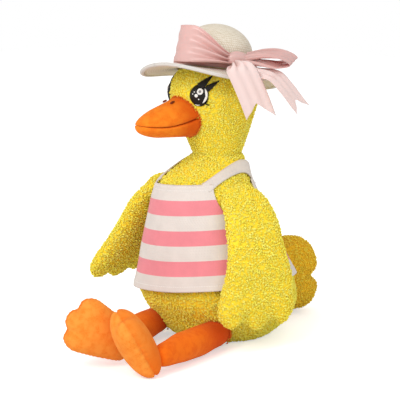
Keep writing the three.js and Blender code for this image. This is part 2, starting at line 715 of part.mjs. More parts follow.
function addFoot(name, leg, pose, rise) {
  const ankle = frame(leg.frame, new THREE.Vector3(0, -LEG_LENGTH, 0), rise, 0, 0);
  const floorBlock = new THREE.BoxGeometry(4 * FOOT_LENGTH, 4 * FOOT_LENGTH, FOOT_LENGTH);
  const floor = (inset) =>
    solid(seenFrom(ankle, floorBlock.clone().translate(0, -LEG_LENGTH, inset - FOOT_LENGTH / 2)));
  let reached = solid(socketBall(ANKLE_BALL + SWING_GAP, 0, 0, 0));
  for (const angle of [-ANKLE_RANGE, ANKLE_RANGE]) {
    const tube = legForm(-SWING_GAP).translate(0, LEG_LENGTH, 0).rotateX(degrees(angle - rise));
    reached = reached.add(solid(tube));
  }
  const form = (inset) => solid(footForm(pose, inset)).subtract(floor(inset));
  add(ankle, name + "_foot_skin", form(0).subtract(form(VELOUR)).subtract(reached), velourOrange);
  add(ankle, name + "_foot_stuffing", form(VELOUR + SEAM_GAP).subtract(reached), fibreWhite);
}

// Striped top: a front and a back panel with two straps
function topShell() {
  const outer = flaredSide(SEAM_GAP + TOP_THICK);
  const inner = flaredSide(SEAM_GAP).toReversed();
  return leaned(turned([...outer, ...inner, outer[0]], BODY_SEGMENTS), bodyLean);
}

function box(fromX, toX, fromY, toY, fromZ, toZ) {
  const shape = new THREE.BoxGeometry(toX - fromX, toY - fromY, toZ - fromZ);
  return solid(shape.translate((fromX + toX) / 2, (fromY + toY) / 2, (fromZ + toZ) / 2));
}

function addTop() {
  const wide = 2 * BELLY_RADIUS;
  const shell = solid(topShell()).subtract(sockets()).subtract(tailForm(-SEAM_GAP));
  let panel = shell.subtract(box(-wide, wide, -wide, wide, TOP_EDGE_HEIGHT, NECK_HEIGHT + THROUGH));
  for (const place of wingPlaces) {
    const hole = new THREE.CylinderGeometry(ARMHOLE_RADIUS, ARMHOLE_RADIUS, wide, 24);
    hole.translate(0, wide / 2, 0).rotateZ(-Math.PI / 2);
    hole.rotateZ(Math.atan2(place.y, place.x)).translate(0, 0, place.z);
    panel = panel.subtract(solid(hole));
  }
  panel = panel.subtract(box(-wide, wide, -wide, wide, -THROUGH, TOP_HEM_HEIGHT));
  const half = SEAM_GAP / 2;
  add(duck, "top_front", panel.subtract(box(-wide, wide, -half, wide, 0, NECK_HEIGHT)), knitPink);
  add(duck, "top_back", panel.subtract(box(-wide, wide, -wide, half, 0, NECK_HEIGHT)), knitPink);
  for (const [side, name] of [[1, "left"], [-1, "right"]]) {
    const middleX = side * STRAP_SPREAD;
    const slab = box(middleX - STRAP_WIDTH / 2, middleX + STRAP_WIDTH / 2, -wide, wide,
      TOP_EDGE_HEIGHT + SEAM_GAP, NECK_HEIGHT);
    add(duck, "strap_" + name, shell.intersect(slab), knitWhite);
  }
}

// Hat, in a frame at the middle of the head
const hatPlace = new THREE.Vector3(0, -HEAD_FORWARD - HAT_FORWARD, CHEEK_HEIGHT);
const tiltFrame = frame(headFrame, hatPlace, 0, 0, HAT_TILT_ANGLE);
const hatFrame = frame(tiltFrame, new THREE.Vector3(), -HAT_TILT, 0, 0);

// A place on the hat, at an angle from the front of the head.
function onHat(angle, radius, height) {
  const turn = degrees(angle - HAT_TILT_ANGLE);
  return new THREE.Vector3(radius * Math.sin(turn), -radius * Math.cos(turn), height);
}

// The height of the brim's underside at an angle and a radius.
function brimUnder(angle, radius) {
  const out = (radius - CROWN_RADIUS) / (BRIM_RADIUS - CROWN_RADIUS);
  const wave = BRIM_WAVE * Math.cos(degrees(BRIM_WAVES * (angle - BRIM_WAVE_ANGLE)));
  return BRIM_HEIGHT + Math.max(out, 0) * (wave - BRIM_DROOP);
}

function crownForm(inset, bottom) {
  const rise = CROWN_HEIGHT - inset - CROWN_WALL_HEIGHT;
  const profile = [new THREE.Vector2(0, bottom), new THREE.Vector2(CROWN_RADIUS - inset, bottom)];
  for (let i = 0; i <= DOME_STEPS; i++) {
    const turn = (i / DOME_STEPS) * (Math.PI / 2);
    const radius = i < DOME_STEPS ? (DOME_RADIUS - inset) * Math.cos(turn) : 0;
    profile.push(new THREE.Vector2(radius, CROWN_WALL_HEIGHT + rise * Math.sin(turn)));
  }
  return solid(turned(profile, HAT_SEGMENTS));
}

function brimForm() {
  const rings = [];
  const edge = BRIM_RADIUS - 2 * PIPING - SEAM_GAP;
  const inner = CROWN_RADIUS - 2 * HAT_CLOTH - THROUGH;
  for (let i = 0; i < BRIM_STEPS; i++) {
    const angle = (i / BRIM_STEPS) * 360;
    const ring = [inner, CROWN_RADIUS, edge].map((radius) =>
      onHat(angle, radius, brimUnder(angle, radius)));
    const above = ring.toReversed().map((point) => point.clone().setZ(point.z + HAT_CLOTH));
    rings.push([...ring, ...above]);
  }
  return solid(hoop(rings.toReversed()));
}

function pipingForm() {
  const rings = [];
  for (let i = 0; i < BRIM_STEPS; i++) {
    const angle = (i / BRIM_STEPS) * 360;
    const ring = [];
    for (let j = 0; j < RIM_SIDES; j++) {
      const turn = (j / RIM_SIDES) * 2 * Math.PI;
      const radius = BRIM_RADIUS - PIPING + PIPING * Math.cos(turn);
      const height = brimUnder(angle, BRIM_RADIUS - PIPING) + HAT_CLOTH / 2;
      ring.push(onHat(angle, radius, height + PIPING * Math.sin(turn)));
    }
    rings.push(ring);
  }
  return solid(hoop(rings.toReversed()));
}

function headInHat(offset) {
  return solid(seenFrom(hatFrame, geometryOf(headForm(offset)), headFrame));
}

function addHat() {
  const low = BRIM_HEIGHT + HAT_CLOTH + SEAM_GAP;
  const head = headInHat(SEAM_GAP);
  const crown = crownForm(0, low).subtract(crownForm(HAT_CLOTH, low - THROUGH));
  add(hatFrame, "hat_crown", crown.subtract(head), linenBeige);
  add(hatFrame, "hat_brim", brimForm().subtract(head), linenBeige);
  add(hatFrame, "brim_piping", pipingForm(), bindingWhite);
  const inner = CROWN_RADIUS + SEAM_GAP;
  const band = [
    new THREE.Vector2(inner, low), new THREE.Vector2(inner + BAND_THICK, low),
    new THREE.Vector2(inner + BAND_THICK, low + BAND_HEIGHT),
    new THREE.Vector2(inner, low + BAND_HEIGHT), new THREE.Vector2(inner, low),
  ];
  add(hatFrame, "hat_band", solid(turned(band, HAT_SEGMENTS)).subtract(head), satinPink);
}

// A place by the knot, in ribbon widths back along the brim, out from the crown and up.
function byKnot(back, out, up) {
  const middleRadius = CROWN_RADIUS + BAND_THICK + 2 * SEAM_GAP + KNOT_THICK / 2;
  const knot = onHat(KNOT_ANGLE, middleRadius + out * RIBBON_WIDTH, KNOT_HEIGHT + up * RIBBON_WIDTH);
  const turn = degrees(KNOT_ANGLE - HAT_TILT_ANGLE);
  const along = new THREE.Vector3(Math.cos(turn), Math.sin(turn), 0);
  return knot.addScaledVector(along, back * RIBBON_WIDTH);
}

function byKnotWay(back, out, up) {
  return byKnot(back, out, up).sub(byKnot(0, 0, 0)).normalize();
}

function knotForm(grow) {
  const knot = new THREE.SphereGeometry(1, 12, 8);
  knot.scale(KNOT_THICK / 2 + grow, KNOT_LONG / 2 + grow, KNOT_TALL / 2 + grow);
  knot.rotateZ(degrees(KNOT_ANGLE - HAT_TILT_ANGLE - 90));
  const at = byKnot(0, 0, 0);
  return solid(knot.translate(at.x, at.y, at.z));
}

// Stations along a smooth run of places, with the width opening from the knot at each pinched end.
function stationsAlong(places, across, count, bothEnds) {
  const run = new THREE.CatmullRomCurve3(places);
  const stations = [];
  for (let i = 0; i <= count; i++) {
    const share = i / count;
    const fromKnot = bothEnds ? 1 - Math.abs(2 * share - 1) : share;
    const open = THREE.MathUtils.smoothstep(fromKnot, 0, bothEnds ? 0.75 : 0.4);
    const width = THREE.MathUtils.lerp(PINCHED_WIDTH, RIBBON_WIDTH, open);
    stations.push({ place: run.getPointAt(share), across, width });
  }
  return stations;
}

// A loop that lies along the front of the crown and leans on its dome, just above the brim.
function frontLoop() {
  // each place is an angle back from the knot, and how far out of the band it lies, in ribbon widths
  const outer = [[9, 0.18], [24, 0.34], [43, 0.42], [61, 0.42], [74, 0.28]];
  const inner = [[66, 0.13], [50, 0.12], [30, 0.12], [10, 0.08]];
  const places = [...outer, ...inner].map(([back, out]) =>
    onHat(KNOT_ANGLE - back, CROWN_RADIUS + BAND_THICK + out * RIBBON_WIDTH, KNOT_HEIGHT));
  const lean = degrees(LOOP_LEAN);
  const upAndIn = onHat(KNOT_ANGLE - LOOP_MIDDLE, -Math.sin(lean), Math.cos(lean));
  const stations = stationsAlong(places, upAndIn, 18, true);
  const low = KNOT_HEIGHT - PINCHED_WIDTH / 2;
  const floor = BRIM_HEIGHT + HAT_CLOTH + PIPING;
  for (const station of stations) {
    const open = (station.width - PINCHED_WIDTH) / (RIBBON_WIDTH - PINCHED_WIDTH);
    station.place.z = THREE.MathUtils.lerp(low, floor, open) + (station.width / 2) * upAndIn.z;
  }
  return solid(ribbon(stations));
}

function backLoop() {
  const out = [[0.2, 0.05, 0.08], [0.7, 0.11, 0.23], [1.2, 0.13, 0.27], [1.55, 0.11, 0.14]];
  const back = [[1.2, 0.11, 0.03], [0.7, 0.08, 0], [0.2, 0.03, -0.02]];
  const places = [...out, ...back];
  const across = byKnotWay(-0.6, 0.72, -0.3);
  return solid(ribbon(stationsAlong(places.map((at) => byKnot(...at)), across, 14, true)));
}

// The wedge that a V cut takes out of a ribbon's free end.
function notchCut(stations) {
  const { place, across, width } = stations.at(-1);
  const along = place.clone().sub(stations.at(-2).place).normalize();
  const side = across.clone().normalize();
  const face = along.clone().cross(side).normalize();
  const past = place.clone().addScaledVector(along, THROUGH);
  const half = (width / 2 - NOTCH_TIP) * (1 + THROUGH / NOTCH_DEPTH);
  const triangle = [
    place.clone().addScaledVector(along, -NOTCH_DEPTH),
    past.clone().addScaledVector(side, -half),
    past.clone().addScaledVector(side, half),
  ];
  const layer = (lift) => triangle.map((point) => point.clone().addScaledVector(face, lift));
  return solid(loft([layer(-THROUGH * 2), layer(THROUGH * 2)]));
}

function bowTail(places, across) {
  const stations = stationsAlong(places.map((at) => byKnot(...at)), across, 11, false);
  return solid(ribbon(stations)).subtract(notchCut(stations));
}

function addBow() {
  const inKnot = knotForm(SEAM_GAP);
  add(hatFrame, "bow_knot", knotForm(0), satinPink);
  add(hatFrame, "bow_loop_front", frontLoop().subtract(inKnot), satinPink);
  add(hatFrame, "bow_loop_back", backLoop().subtract(inKnot), satinPink);
  const overBrim = [[-0.14, 0.1, -0.13], [-0.26, 0.6, -0.17], [-0.26, 0.82, -0.36]];
  const downFront = [[-0.06, 0.87, -0.7], [0.16, 0.87, -1.06], [0.37, 0.85, -1.42]];
  const frontTail = bowTail([...overBrim, ...downFront], byKnotWay(0.94, -0.25, 0.21));
  add(hatFrame, "bow_tail_front", frontTail.subtract(inKnot), satinPink);
  const acrossBrim = [[0.16, 0.04, -0.17], [0.4, 0.24, -0.26], [0.75, 0.58, -0.31]];
  const downBack = [[1.1, 0.68, -0.6], [1.5, 0.6, -0.92], [1.72, 0.55, -1.08]];
  const backTail = bowTail([...acrossBrim, ...downBack], byKnotWay(0.7, -0.65, 0.3));
  add(hatFrame, "bow_tail_back", backTail.subtract(inKnot), satinPink);
}

addBody();
addTail();
addHead();
addBeak();
addFace();
addTop();
addHat();
addBow();
addWing("left_wing", wingPlaces[0], LEFT_WING_HEADING - 90, 0, 0, WING_RANGE);
addWing("right_wing", wingPlaces[1], -RIGHT_WING_HEADING - 90, RIGHT_WING_RAISE, RIGHT_WING_LOWER,
  WING_RANGE - RIGHT_WING_RAISE);
addLeg("left", hipPlaces[0], LEFT_LEG);
addLeg("right", hipPlaces[1], RIGHT_LEG);

export default duck;
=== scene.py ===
import json
import math

import bmesh
import bpy
import numpy as np
from mathutils import Matrix, Vector


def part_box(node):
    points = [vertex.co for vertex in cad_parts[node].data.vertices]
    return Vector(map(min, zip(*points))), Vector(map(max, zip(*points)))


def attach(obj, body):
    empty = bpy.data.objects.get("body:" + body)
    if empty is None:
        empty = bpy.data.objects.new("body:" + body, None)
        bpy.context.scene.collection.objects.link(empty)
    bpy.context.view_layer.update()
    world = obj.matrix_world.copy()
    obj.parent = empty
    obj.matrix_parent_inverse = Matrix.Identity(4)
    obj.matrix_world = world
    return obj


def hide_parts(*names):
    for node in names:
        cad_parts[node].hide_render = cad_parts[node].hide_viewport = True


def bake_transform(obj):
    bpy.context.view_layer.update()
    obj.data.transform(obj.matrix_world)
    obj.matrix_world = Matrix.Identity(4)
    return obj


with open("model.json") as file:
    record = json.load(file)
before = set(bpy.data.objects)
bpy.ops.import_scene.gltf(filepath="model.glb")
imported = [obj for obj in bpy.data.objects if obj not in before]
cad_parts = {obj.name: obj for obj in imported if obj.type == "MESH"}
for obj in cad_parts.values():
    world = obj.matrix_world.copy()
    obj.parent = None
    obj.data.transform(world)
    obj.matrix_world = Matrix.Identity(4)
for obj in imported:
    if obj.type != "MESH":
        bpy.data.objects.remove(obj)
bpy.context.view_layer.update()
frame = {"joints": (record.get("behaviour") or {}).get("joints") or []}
scene = bpy.context.scene

# The studio: the duck sits on a pale table under two soft lamps and a bright ceiling. The table
# keeps the duck's shadow, and the wall behind it counts as white to the camera and in reflections.


def srgb(code):
    """A hex colour, as it looks, turned to the linear values that shaders use."""
    shares = [int(code[i:i + 2], 16) / 255 for i in (1, 3, 5)]
    return (*[s / 12.92 if s <= 0.04045 else ((s + 0.055) / 1.055) ** 2.4 for s in shares], 1)


def add(tree, kind, sockets=None, **settings):
    """A node with its settings, whose sockets hold a value or take a link from a socket or a node."""
    node = tree.nodes.new(kind)
    for name, value in settings.items():
        setattr(node, name, value)
    for name, value in (sockets or {}).items():
        if isinstance(value, bpy.types.Node):
            value = value.outputs[0]
        if isinstance(value, bpy.types.NodeSocket):
            tree.links.new(value, node.inputs[name])
        else:
            node.inputs[name].default_value = value
    return node


def maths(tree, operation, *terms):
    """A node that works out a number from one or two others."""
    return add(tree, "ShaderNodeMath", dict(enumerate(terms)), operation=operation)


def new_material(name):
    """A material and its tree, which is still empty."""
    material = bpy.data.materials.new(name)
    material.use_nodes = True
    material.node_tree.nodes.clear()
    return material, material.node_tree


def put_in(name, data):
    """A new object with its data, put into the scene."""
    thing = bpy.data.objects.new(name, data)
    scene.collection.objects.link(thing)
    return thing


# matt white laminate: light enough to read as the photo's plain ground, yet it takes a shadow
table_white, tree = new_material("table_white")
path = add(tree, "ShaderNodeLightPath")
matt = add(tree, "ShaderNodeBsdfDiffuse", {"Color": srgb("#f7f7f7")})
glow = add(tree, "ShaderNodeEmission", {"Color": (1, 1, 1, 1), "Strength": 0.5})
lit = add(tree, "ShaderNodeAddShader", {0: matt, 1: glow})
seen = add(tree, "ShaderNodeMixShader", {0: path.outputs["Is Camera Ray"], 1: matt, 2: lit})
add(tree, "ShaderNodeOutputMaterial", {"Surface": seen})

TABLE = 3.0
top_mesh = bpy.data.meshes.new("table")
corners = [(-TABLE, -TABLE, 0), (TABLE, -TABLE, 0), (TABLE, TABLE, 0), (-TABLE, TABLE, 0)]
top_mesh.from_pydata(corners, [], [(0, 1, 2, 3)])
top_mesh.materials.append(table_white)
table = put_in("table", top_mesh)
table.location.z = -0.0004  # just under the feet and seat, so that no two faces share a plane

world = bpy.data.worlds.new("studio")
world.use_nodes = True
world.node_tree.nodes.clear()
tree = world.node_tree
path = add(tree, "ShaderNodeLightPath")
shown = maths(tree, "MAXIMUM", path.outputs["Is Camera Ray"], path.outputs["Is Glossy Ray"])
shown = maths(tree, "MAXIMUM", shown, path.outputs["Is Transmission Ray"])
ceiling = add(tree, "ShaderNodeBackground", {"Color": (1, 1, 1, 1), "Strength": 0.72})
wall = add(tree, "ShaderNodeBackground", {"Color": (1, 1, 1, 1), "Strength": 1.0})
both = add(tree, "ShaderNodeMixShader", {0: shown, 1: ceiling, 2: wall})
add(tree, "ShaderNodeOutputWorld", {"Surface": both})
scene.world = world

scene.view_settings.view_transform = "Standard"


def turned(degrees, axis):
    """A turn about an axis of the frame."""
    return Matrix.Rotation(math.radians(degrees), 4, axis)


def lamp(name, place, aim, size, power):
    """A square soft box at a place, turned to its aim."""
    light = bpy.data.lights.new(name, "AREA")
    light.size = size
    light.energy = power
    box = put_in(name, light)
    box.location = place
    box.rotation_euler = (Vector(aim) - Vector(place)).to_track_quat("-Z", "Y").to_euler()


lamp("key_lamp", (0.35, -1.6, 1.3), (0, 0, 0.15), size=0.9, power=16.5)
lamp("side_lamp", (1.5, -0.4, 0.9), (0, 0, 0.15), size=1.2, power=3)

# the photo was taken from 42 degrees round to the duck's left and 10 above level, with a long lens
SIGHT_AIM = Vector((-0.0125, -0.0139, 0.136))
SIGHT_TURN, SIGHT_RISE, SIGHT_FAR = math.radians(42), math.radians(10), 1.5
camera = put_in("camera", bpy.data.cameras.new("camera"))
camera.data.lens, camera.data.sensor_width = 135, 36
level = math.cos(SIGHT_RISE)
back = Vector((math.sin(SIGHT_TURN) * level, -math.cos(SIGHT_TURN) * level, math.sin(SIGHT_RISE)))
camera.location = SIGHT_AIM + back * SIGHT_FAR
camera.rotation_euler = (-back).to_track_quat("-Z", "Y").to_euler()
scene.camera = camera

# The body: a pear of curly long-pile fleece, cut in gores, turned and filled with loose fibre over
# a bag of pellets. The pile is short strands that the finish has drawn into small curls.


def spline(points, count):
    """count places on a smooth line through the points, evenly spaced in the points' own steps."""
    p = np.array(points, float)
    t = np.linspace(0, len(p) - 1, count)
    i = np.minimum(t.astype(int), len(p) - 2)
    w = (t - i)[:, None]
    a, b, c, d = (p[np.clip(i + k, 0, len(p) - 1)] for k in (-1, 0, 1, 2))
    v, u = (c - a) / 2, (d - b) / 2
    return (2 * b - 2 * c + v + u) * w ** 3 + (3 * c - 3 * b - 2 * v - u) * w ** 2 + v * w + b


def evenly(line, count):
    """The line with count points at even distances."""
    run = np.concatenate([[0], np.cumsum(np.linalg.norm(np.diff(line, axis=0), axis=1))])
    steps = np.linspace(0, run[-1], count)
    return np.stack([np.interp(steps, run, column) for column in line.T], 1)


def ramp(value, low, high):
    """0 below low, 1 above high and smooth between."""
    t = np.clip((np.asarray(value, float) - low) / (high - low), 0, 1)
    return t * t * (3 - 2 * t)


def circle(count):
    """Angles all the way round."""
    return np.linspace(0, 2 * np.pi, count, endpoint=False)


def lofted(rings, poles=True):
    """Points and faces of a skin through closed rings of points, with a pole at each end."""
    rings = np.asarray(rings, float)
    count, around = rings.shape[:2]
    points = rings.reshape(-1, 3)
    step = np.arange(around)
    faces = []
    for k in range(count - 1):
        for j in step:
            n = (j + 1) % around
            faces.append((k * around + j, k * around + n, (k + 1) * around + n, (k + 1) * around + j))
    if poles:
        points = np.vstack([points, rings[0].mean(0), rings[-1].mean(0)])
        last = (count - 1) * around
        faces += [(int((j + 1) % around), int(j), len(points) - 2) for j in step]
        faces += [(last + int(j), last + int((j + 1) % around), len(points) - 1) for j in step]
    return points, faces


def made(name, points, faces, material=None):
    """A smooth-shaded piece from points in millimetres, with its faces turned outwards."""
    mesh = bpy.data.meshes.new(name)
    mesh.from_pydata((np.asarray(points, float) / 1000).tolist(), [], [tuple(map(int, f)) for f in faces])
    build = bmesh.new()
    build.from_mesh(mesh)
    bmesh.ops.remove_doubles(build, verts=build.verts, dist=1e-6)
    bmesh.ops.recalc_face_normals(build, faces=build.faces)
    build.to_mesh(mesh)
    build.free()
    mesh.shade_smooth()
    if material:
        mesh.materials.append(material)
    return put_in(name, mesh)


def places(piece):
    """The piece's points in millimetres."""
    co = np.empty(len(piece.data.vertices) * 3)
    piece.data.vertices.foreach_get("co", co)
    return co.reshape(-1, 3) * 1000


def move_to(piece, points):
    """Puts the piece's points at places in millimetres."""
    piece.data.vertices.foreach_set("co", (np.asarray(points) / 1000).ravel())
    piece.data.update()


def note(piece, name, values):
    """Keeps a number for each point, for the pile and the material."""
    layer = piece.data.attributes.get(name) or piece.data.attributes.new(name, "FLOAT", "POINT")
    layer.data.foreach_set("value", np.asarray(values, np.float32))


def settled(piece):
    """The piece with its modifiers worked into its mesh."""
    bpy.context.view_layer.update()
    shape = bpy.data.meshes.new_from_object(piece.evaluated_get(bpy.context.evaluated_depsgraph_get()))
    piece.modifiers.clear()
    piece.data = shape
    return piece


def mix(tree, share, low, high):
    """A colour between two others."""
    return add(tree, "ShaderNodeMix", {0: share, 6: low, 7: high}, data_type="RGBA").outputs[2]


def noted(tree, name):
    """The number that a piece's points keep under a name."""
    return add(tree, "ShaderNodeAttribute", attribute_name=name).outputs["Fac"]


def noise(tree, scale, detail, place=None):
    """Unevenness over the duck's own frame, or over a map of the cloth where one is given."""
    place = place or add(tree, "ShaderNodeTexCoord").outputs["Object"]
    return add(tree, "ShaderNodeTexNoise", {"Vector": place, "Scale": scale, "Detail": detail})


def bump(tree, height, strength, depth):
    """Relief too fine to model, with its depth in metres."""
    return add(tree, "ShaderNodeBump", {"Height": height, "Strength": strength, "Distance": depth})


def coat(tree, colour, roughness, gloss, relief, more=None):
    """The shader of a cloth or thread, from its colour, roughness, specular level and bump."""
    sockets = {"Base Color": colour, "Roughness": roughness, "Specular IOR Level": gloss, "Normal": relief}
    return add(tree, "ShaderNodeBsdfPrincipled", sockets | (more or {}))


def finished(material, shader):
    """The material, with its shader led to its output."""
    add(material.node_tree, "ShaderNodeOutputMaterial", {"Surface": shader})
    return material


def fleece(name, low, high, root):
    """Curly polyester fleece: bright fuzzy tips over painted shade, a deeper golden towards the curls' roots,
    with a soft sheen.
    """
    material, tree = new_material(name)
    tip = mix(tree, noted(tree, "shade"), srgb(low), srgb(high))
    # painted shade: each curl goes from its tip colour down to the deeper root colour, as the pile's depths
    # lie in shade
    colour = mix(tree, noted(tree, "tip"), srgb(root), tip)
    fuzz = bump(tree, noise(tree, 1900, 2), 0.5, 0.0001)
    sheen = {"Sheen Weight": 0.15, "Sheen Roughness": 0.6, "Sheen Tint": srgb("#fff3a0")}
    return finished(material, coat(tree, colour, 0.85, 0.1, fuzz, sheen))


def new_tree(name, result, kinds):
    """A node tree with its result and its inputs, and those inputs."""
    tree = bpy.data.node_groups.new(name, "GeometryNodeTree")
    tree.interface.new_socket(result, in_out="OUTPUT", socket_type="NodeSocketGeometry")
    for label, kind in kinds.items():
        tree.interface.new_socket(label, in_out="INPUT", socket_type="NodeSocket" + kind)
    return tree, add(tree, "NodeGroupInput").outputs


def worked_in(piece, tree, inputs):
    """The piece with what a node tree makes of it, as one mesh."""
    work = piece.modifiers.new(tree.name, "NODES")
    work.node_group = tree
    for item in tree.interface.items_tree:
        if item.in_out == "INPUT" and item.name in inputs:
            work[item.identifier] = inputs[item.name]
    return settled(piece)


def pile_tree():
    """Curls scattered over a backing, each a short strand wound up and leaning with its neighbours."""
    tree, given = new_tree("curly_pile", "Fleece", {
        "Backing": "Geometry", "Spacing": "Float", "Curl radius": "Float", "Pile height": "Float",
        "Strand radius": "Float", "Droop": "Float", "Seed": "Int", "Finish": "Material"})
    thick = add(tree, "GeometryNodeInputNamedAttribute", {"Name": "pile"}, data_type="FLOAT")
    tight = maths(tree, "DIVIDE", 1.0, given["Spacing"])
    packed = maths(tree, "MULTIPLY", tight, tight)
    many = maths(tree, "MULTIPLY", packed, 2.0)
    dots = add(tree, "GeometryNodeDistributePointsOnFaces", {
        "Mesh": given["Backing"], "Distance Min": given["Spacing"], "Density Max": many,
        "Density Factor": thick.outputs["Attribute"], "Seed": given["Seed"]}, distribute_method="POISSON")
    wide = maths(tree, "MULTIPLY", given["Curl radius"], 0.55)
    curl = add(tree, "GeometryNodeCurveSpiral", {
        "Resolution": 6, "Rotations": 1.1, "Start Radius": given["Curl radius"], "End Radius": wide,
        "Height": given["Pile height"]})
    strand = add(tree, "GeometryNodeCurvePrimitiveCircle", {
        "Resolution": 3, "Radius": given["Strand radius"]})
    tube = add(tree, "GeometryNodeCurveToMesh", {"Curve": curl, "Profile Curve": strand, "Fill Caps": True})
    # each point of a curl keeps how far up the curl it lies, for the painted shade towards its root
    up = add(tree, "ShaderNodeSeparateXYZ", {0: add(tree, "GeometryNodeInputPosition")})
    share = maths(tree, "DIVIDE", up.outputs["Z"], given["Pile height"])
    marked = add(tree, "GeometryNodeStoreNamedAttribute", {
        "Geometry": tube, "Name": "tip", "Value": share}, data_type="FLOAT", domain="POINT")
    # neighbours lean the same way, which gives the flow that brushing leaves
    flow = add(tree, "ShaderNodeTexNoise", {"Scale": 55.0, "Detail": 1.0}).outputs["Color"]
    spread = add(tree, "ShaderNodeVectorMath", {0: flow, 1: (0.5, 0.5, 0.5)}, operation="SUBTRACT")
    sway = add(tree, "ShaderNodeVectorMath", {0: spread, "Scale": 1.9}, operation="SCALE")
    fall = add(tree, "ShaderNodeCombineXYZ", {"Z": given["Droop"]})
    lean = add(tree, "ShaderNodeVectorMath", {0: sway, 1: fall}, operation="ADD")
    aim = add(tree, "ShaderNodeVectorMath", {0: dots.outputs["Normal"], 1: lean}, operation="ADD")
    stand = add(tree, "FunctionNodeAlignRotationToVector", {"Vector": aim}, axis="Z")
    turn = add(tree, "FunctionNodeRandomValue", {2: 0.0, 3: 2 * math.pi, "Seed": 3}, data_type="FLOAT")
    spin = add(tree, "FunctionNodeAxisAngleToRotation", {"Axis": (0, 0, 1), "Angle": turn.outputs[1]})
    pose = add(tree, "FunctionNodeRotateRotation", {0: stand, 1: spin}, rotation_space="LOCAL")
    size = add(tree, "FunctionNodeRandomValue", {2: 0.75, 3: 1.25, "Seed": 5}, data_type="FLOAT")
    curls = add(tree, "GeometryNodeInstanceOnPoints", {
        "Points": dots.outputs["Points"], "Instance": marked, "Rotation": pose, "Scale": size.outputs[1]})
    dye = add(tree, "FunctionNodeRandomValue", {2: 0.0, 3: 1.0, "Seed": 7}, data_type="FLOAT")
    dyed = add(tree, "GeometryNodeStoreNamedAttribute", {
        "Geometry": curls, "Name": "shade", "Value": dye.outputs[1]}, data_type="FLOAT", domain="INSTANCE")
    real = add(tree, "GeometryNodeRealizeInstances", {0: dyed})
    # pile under the seat is pressed flat by the table
    part = add(tree, "ShaderNodeSeparateXYZ", {0: add(tree, "GeometryNodeInputPosition")})
    lifted = maths(tree, "MAXIMUM", part.outputs["Z"], 0.0002)
    flat = add(tree, "ShaderNodeCombineXYZ", {"X": part.outputs["X"], "Y": part.outputs["Y"], "Z": lifted})
    pressed = add(tree, "GeometryNodeSetPosition", {"Geometry": real, "Position": flat})
    whole = add(tree, "GeometryNodeJoinGeometry")
    tree.links.new(given["Backing"], whole.inputs[0])
    tree.links.new(pressed.outputs[0], whole.inputs[0])
    finish = add(tree, "GeometryNodeSetMaterial", {"Geometry": whole, "Material": given["Finish"]})
    smooth = add(tree, "GeometryNodeSetShadeSmooth", {"Geometry": finish})
    add(tree, "NodeGroupOutput", {0: smooth})
    return tree


curly_pile = pile_tree()


def grow_pile(backing, finish, spacing, curl, tall, strand, droop, seed):
    """Grows the curls on a backing whose points hold how thick the pile is, and makes it all one mesh."""
    # the backing between the curls takes the root colour in full: painted shade of the pile's depths
    for name in ("shade", "tip"):
        note(backing, name, np.zeros(len(backing.data.vertices)))
    return worked_in(backing, curly_pile, {
        "Spacing": spacing / 1000, "Curl radius": curl / 1000, "Pile height": tall / 1000,
        "Strand radius": strand / 1000, "Droop": droop, "Seed": seed, "Finish": finish})


# the last colour is the painted shade at the curls' roots
duck_yellow = fleece("duck_yellow_fleece", "#fff24e", "#fff778", "#ffe23c")

PILE = 1.6  # how far the backing lies inside the fleece's outside
SEAT_UP, BELLY_UP, CHEST_UP, NECK_TOP = 22, 57, 157, 184.0
SEAT_BACK, CHEST_AHEAD, NECK_AHEAD = 6, 20, 2.5
BODY_SIDE = [(47, 0), (70.5, SEAT_UP), (78.5, BELLY_UP), (58, 124), (46.5, CHEST_UP), (24.5, NECK_TOP)]
body_line = spline(BODY_SIDE, 400)


def body_radius(height):
    """The radius of the body's outside at a height."""
    return np.interp(height, body_line[:, 1], body_line[:, 0])


def body_back(height):
    """How far back the body's middle is: the seat sits back and the chest comes forward."""
    seat = SEAT_BACK * (1 - ramp(height, SEAT_UP, BELLY_UP))
    chest = CHEST_AHEAD - (CHEST_AHEAD - NECK_AHEAD) * ramp(height, CHEST_UP, NECK_TOP)
    return seat - chest * ramp(height, SEAT_UP, CHEST_UP)


def round_about(back, radius, angle, height):
    """A place round an upright axis, at an angle in degrees from the front towards the left."""
    turn, height = np.radians(np.asarray(angle, float)), np.asarray(height, float)
    return np.stack(np.broadcast_arrays(radius * np.sin(turn), back - radius * np.cos(turn), height), -1)


def on_body(angle, height, out=0.0):
    """A place on the body at an angle in degrees from the front towards its left."""
    return round_about(body_back(height), body_radius(height) + out, angle, height)


# The top is worn a little askew: hem and upper edge both sit lower on the duck's right. Its cloth
# hides the pile inside this outline.
SEAM_TURN, ARM_UP, ARMHOLE = 84, 151, 27  # the side seams' angle, the armholes' height and radius
HEM_UP, HEM_ASKEW, EDGE_UP, EDGE_ASKEW = 57, 8, 159, 3
STRAP_WIDE, STRAP_AT = 9, 31


def top_height(angle, share):
    """The height of the top's cloth at an angle from the front, from its hem at 0 to its edge at 1."""
    askew = np.sin(np.radians(angle))
    hem, edge = HEM_UP + HEM_ASKEW * askew, EDGE_UP + EDGE_ASKEW * askew
    return hem + (edge - hem) * share


def arm_side(height):
    """How far the armhole's rim lies from the side seam, in degrees, at a height."""
    wide = np.sqrt(np.clip(ARMHOLE ** 2 - (np.asarray(height, float) - ARM_UP) ** 2, 0, None))
    return np.degrees(wide / body_radius(height)) * (np.asarray(height) < ARM_UP + ARMHOLE)


SEAT_FLAT = 1.2  # the backing's height over the table, which the pressed pile fills
rings, turn = [], circle(96)
for radius, height in evenly(spline(BODY_SIDE, 200), 90):
    inner = max(radius - PILE, 4)
    rings.append(np.stack([inner * np.sin(turn), body_back(height) - inner * np.cos(turn),
                           np.full(96, max(height, SEAT_FLAT))], 1))
body = made("body", *lofted(rings))
x, y, z = places(body).T
angle = np.degrees(np.arctan2(x, -(y - body_back(z))))
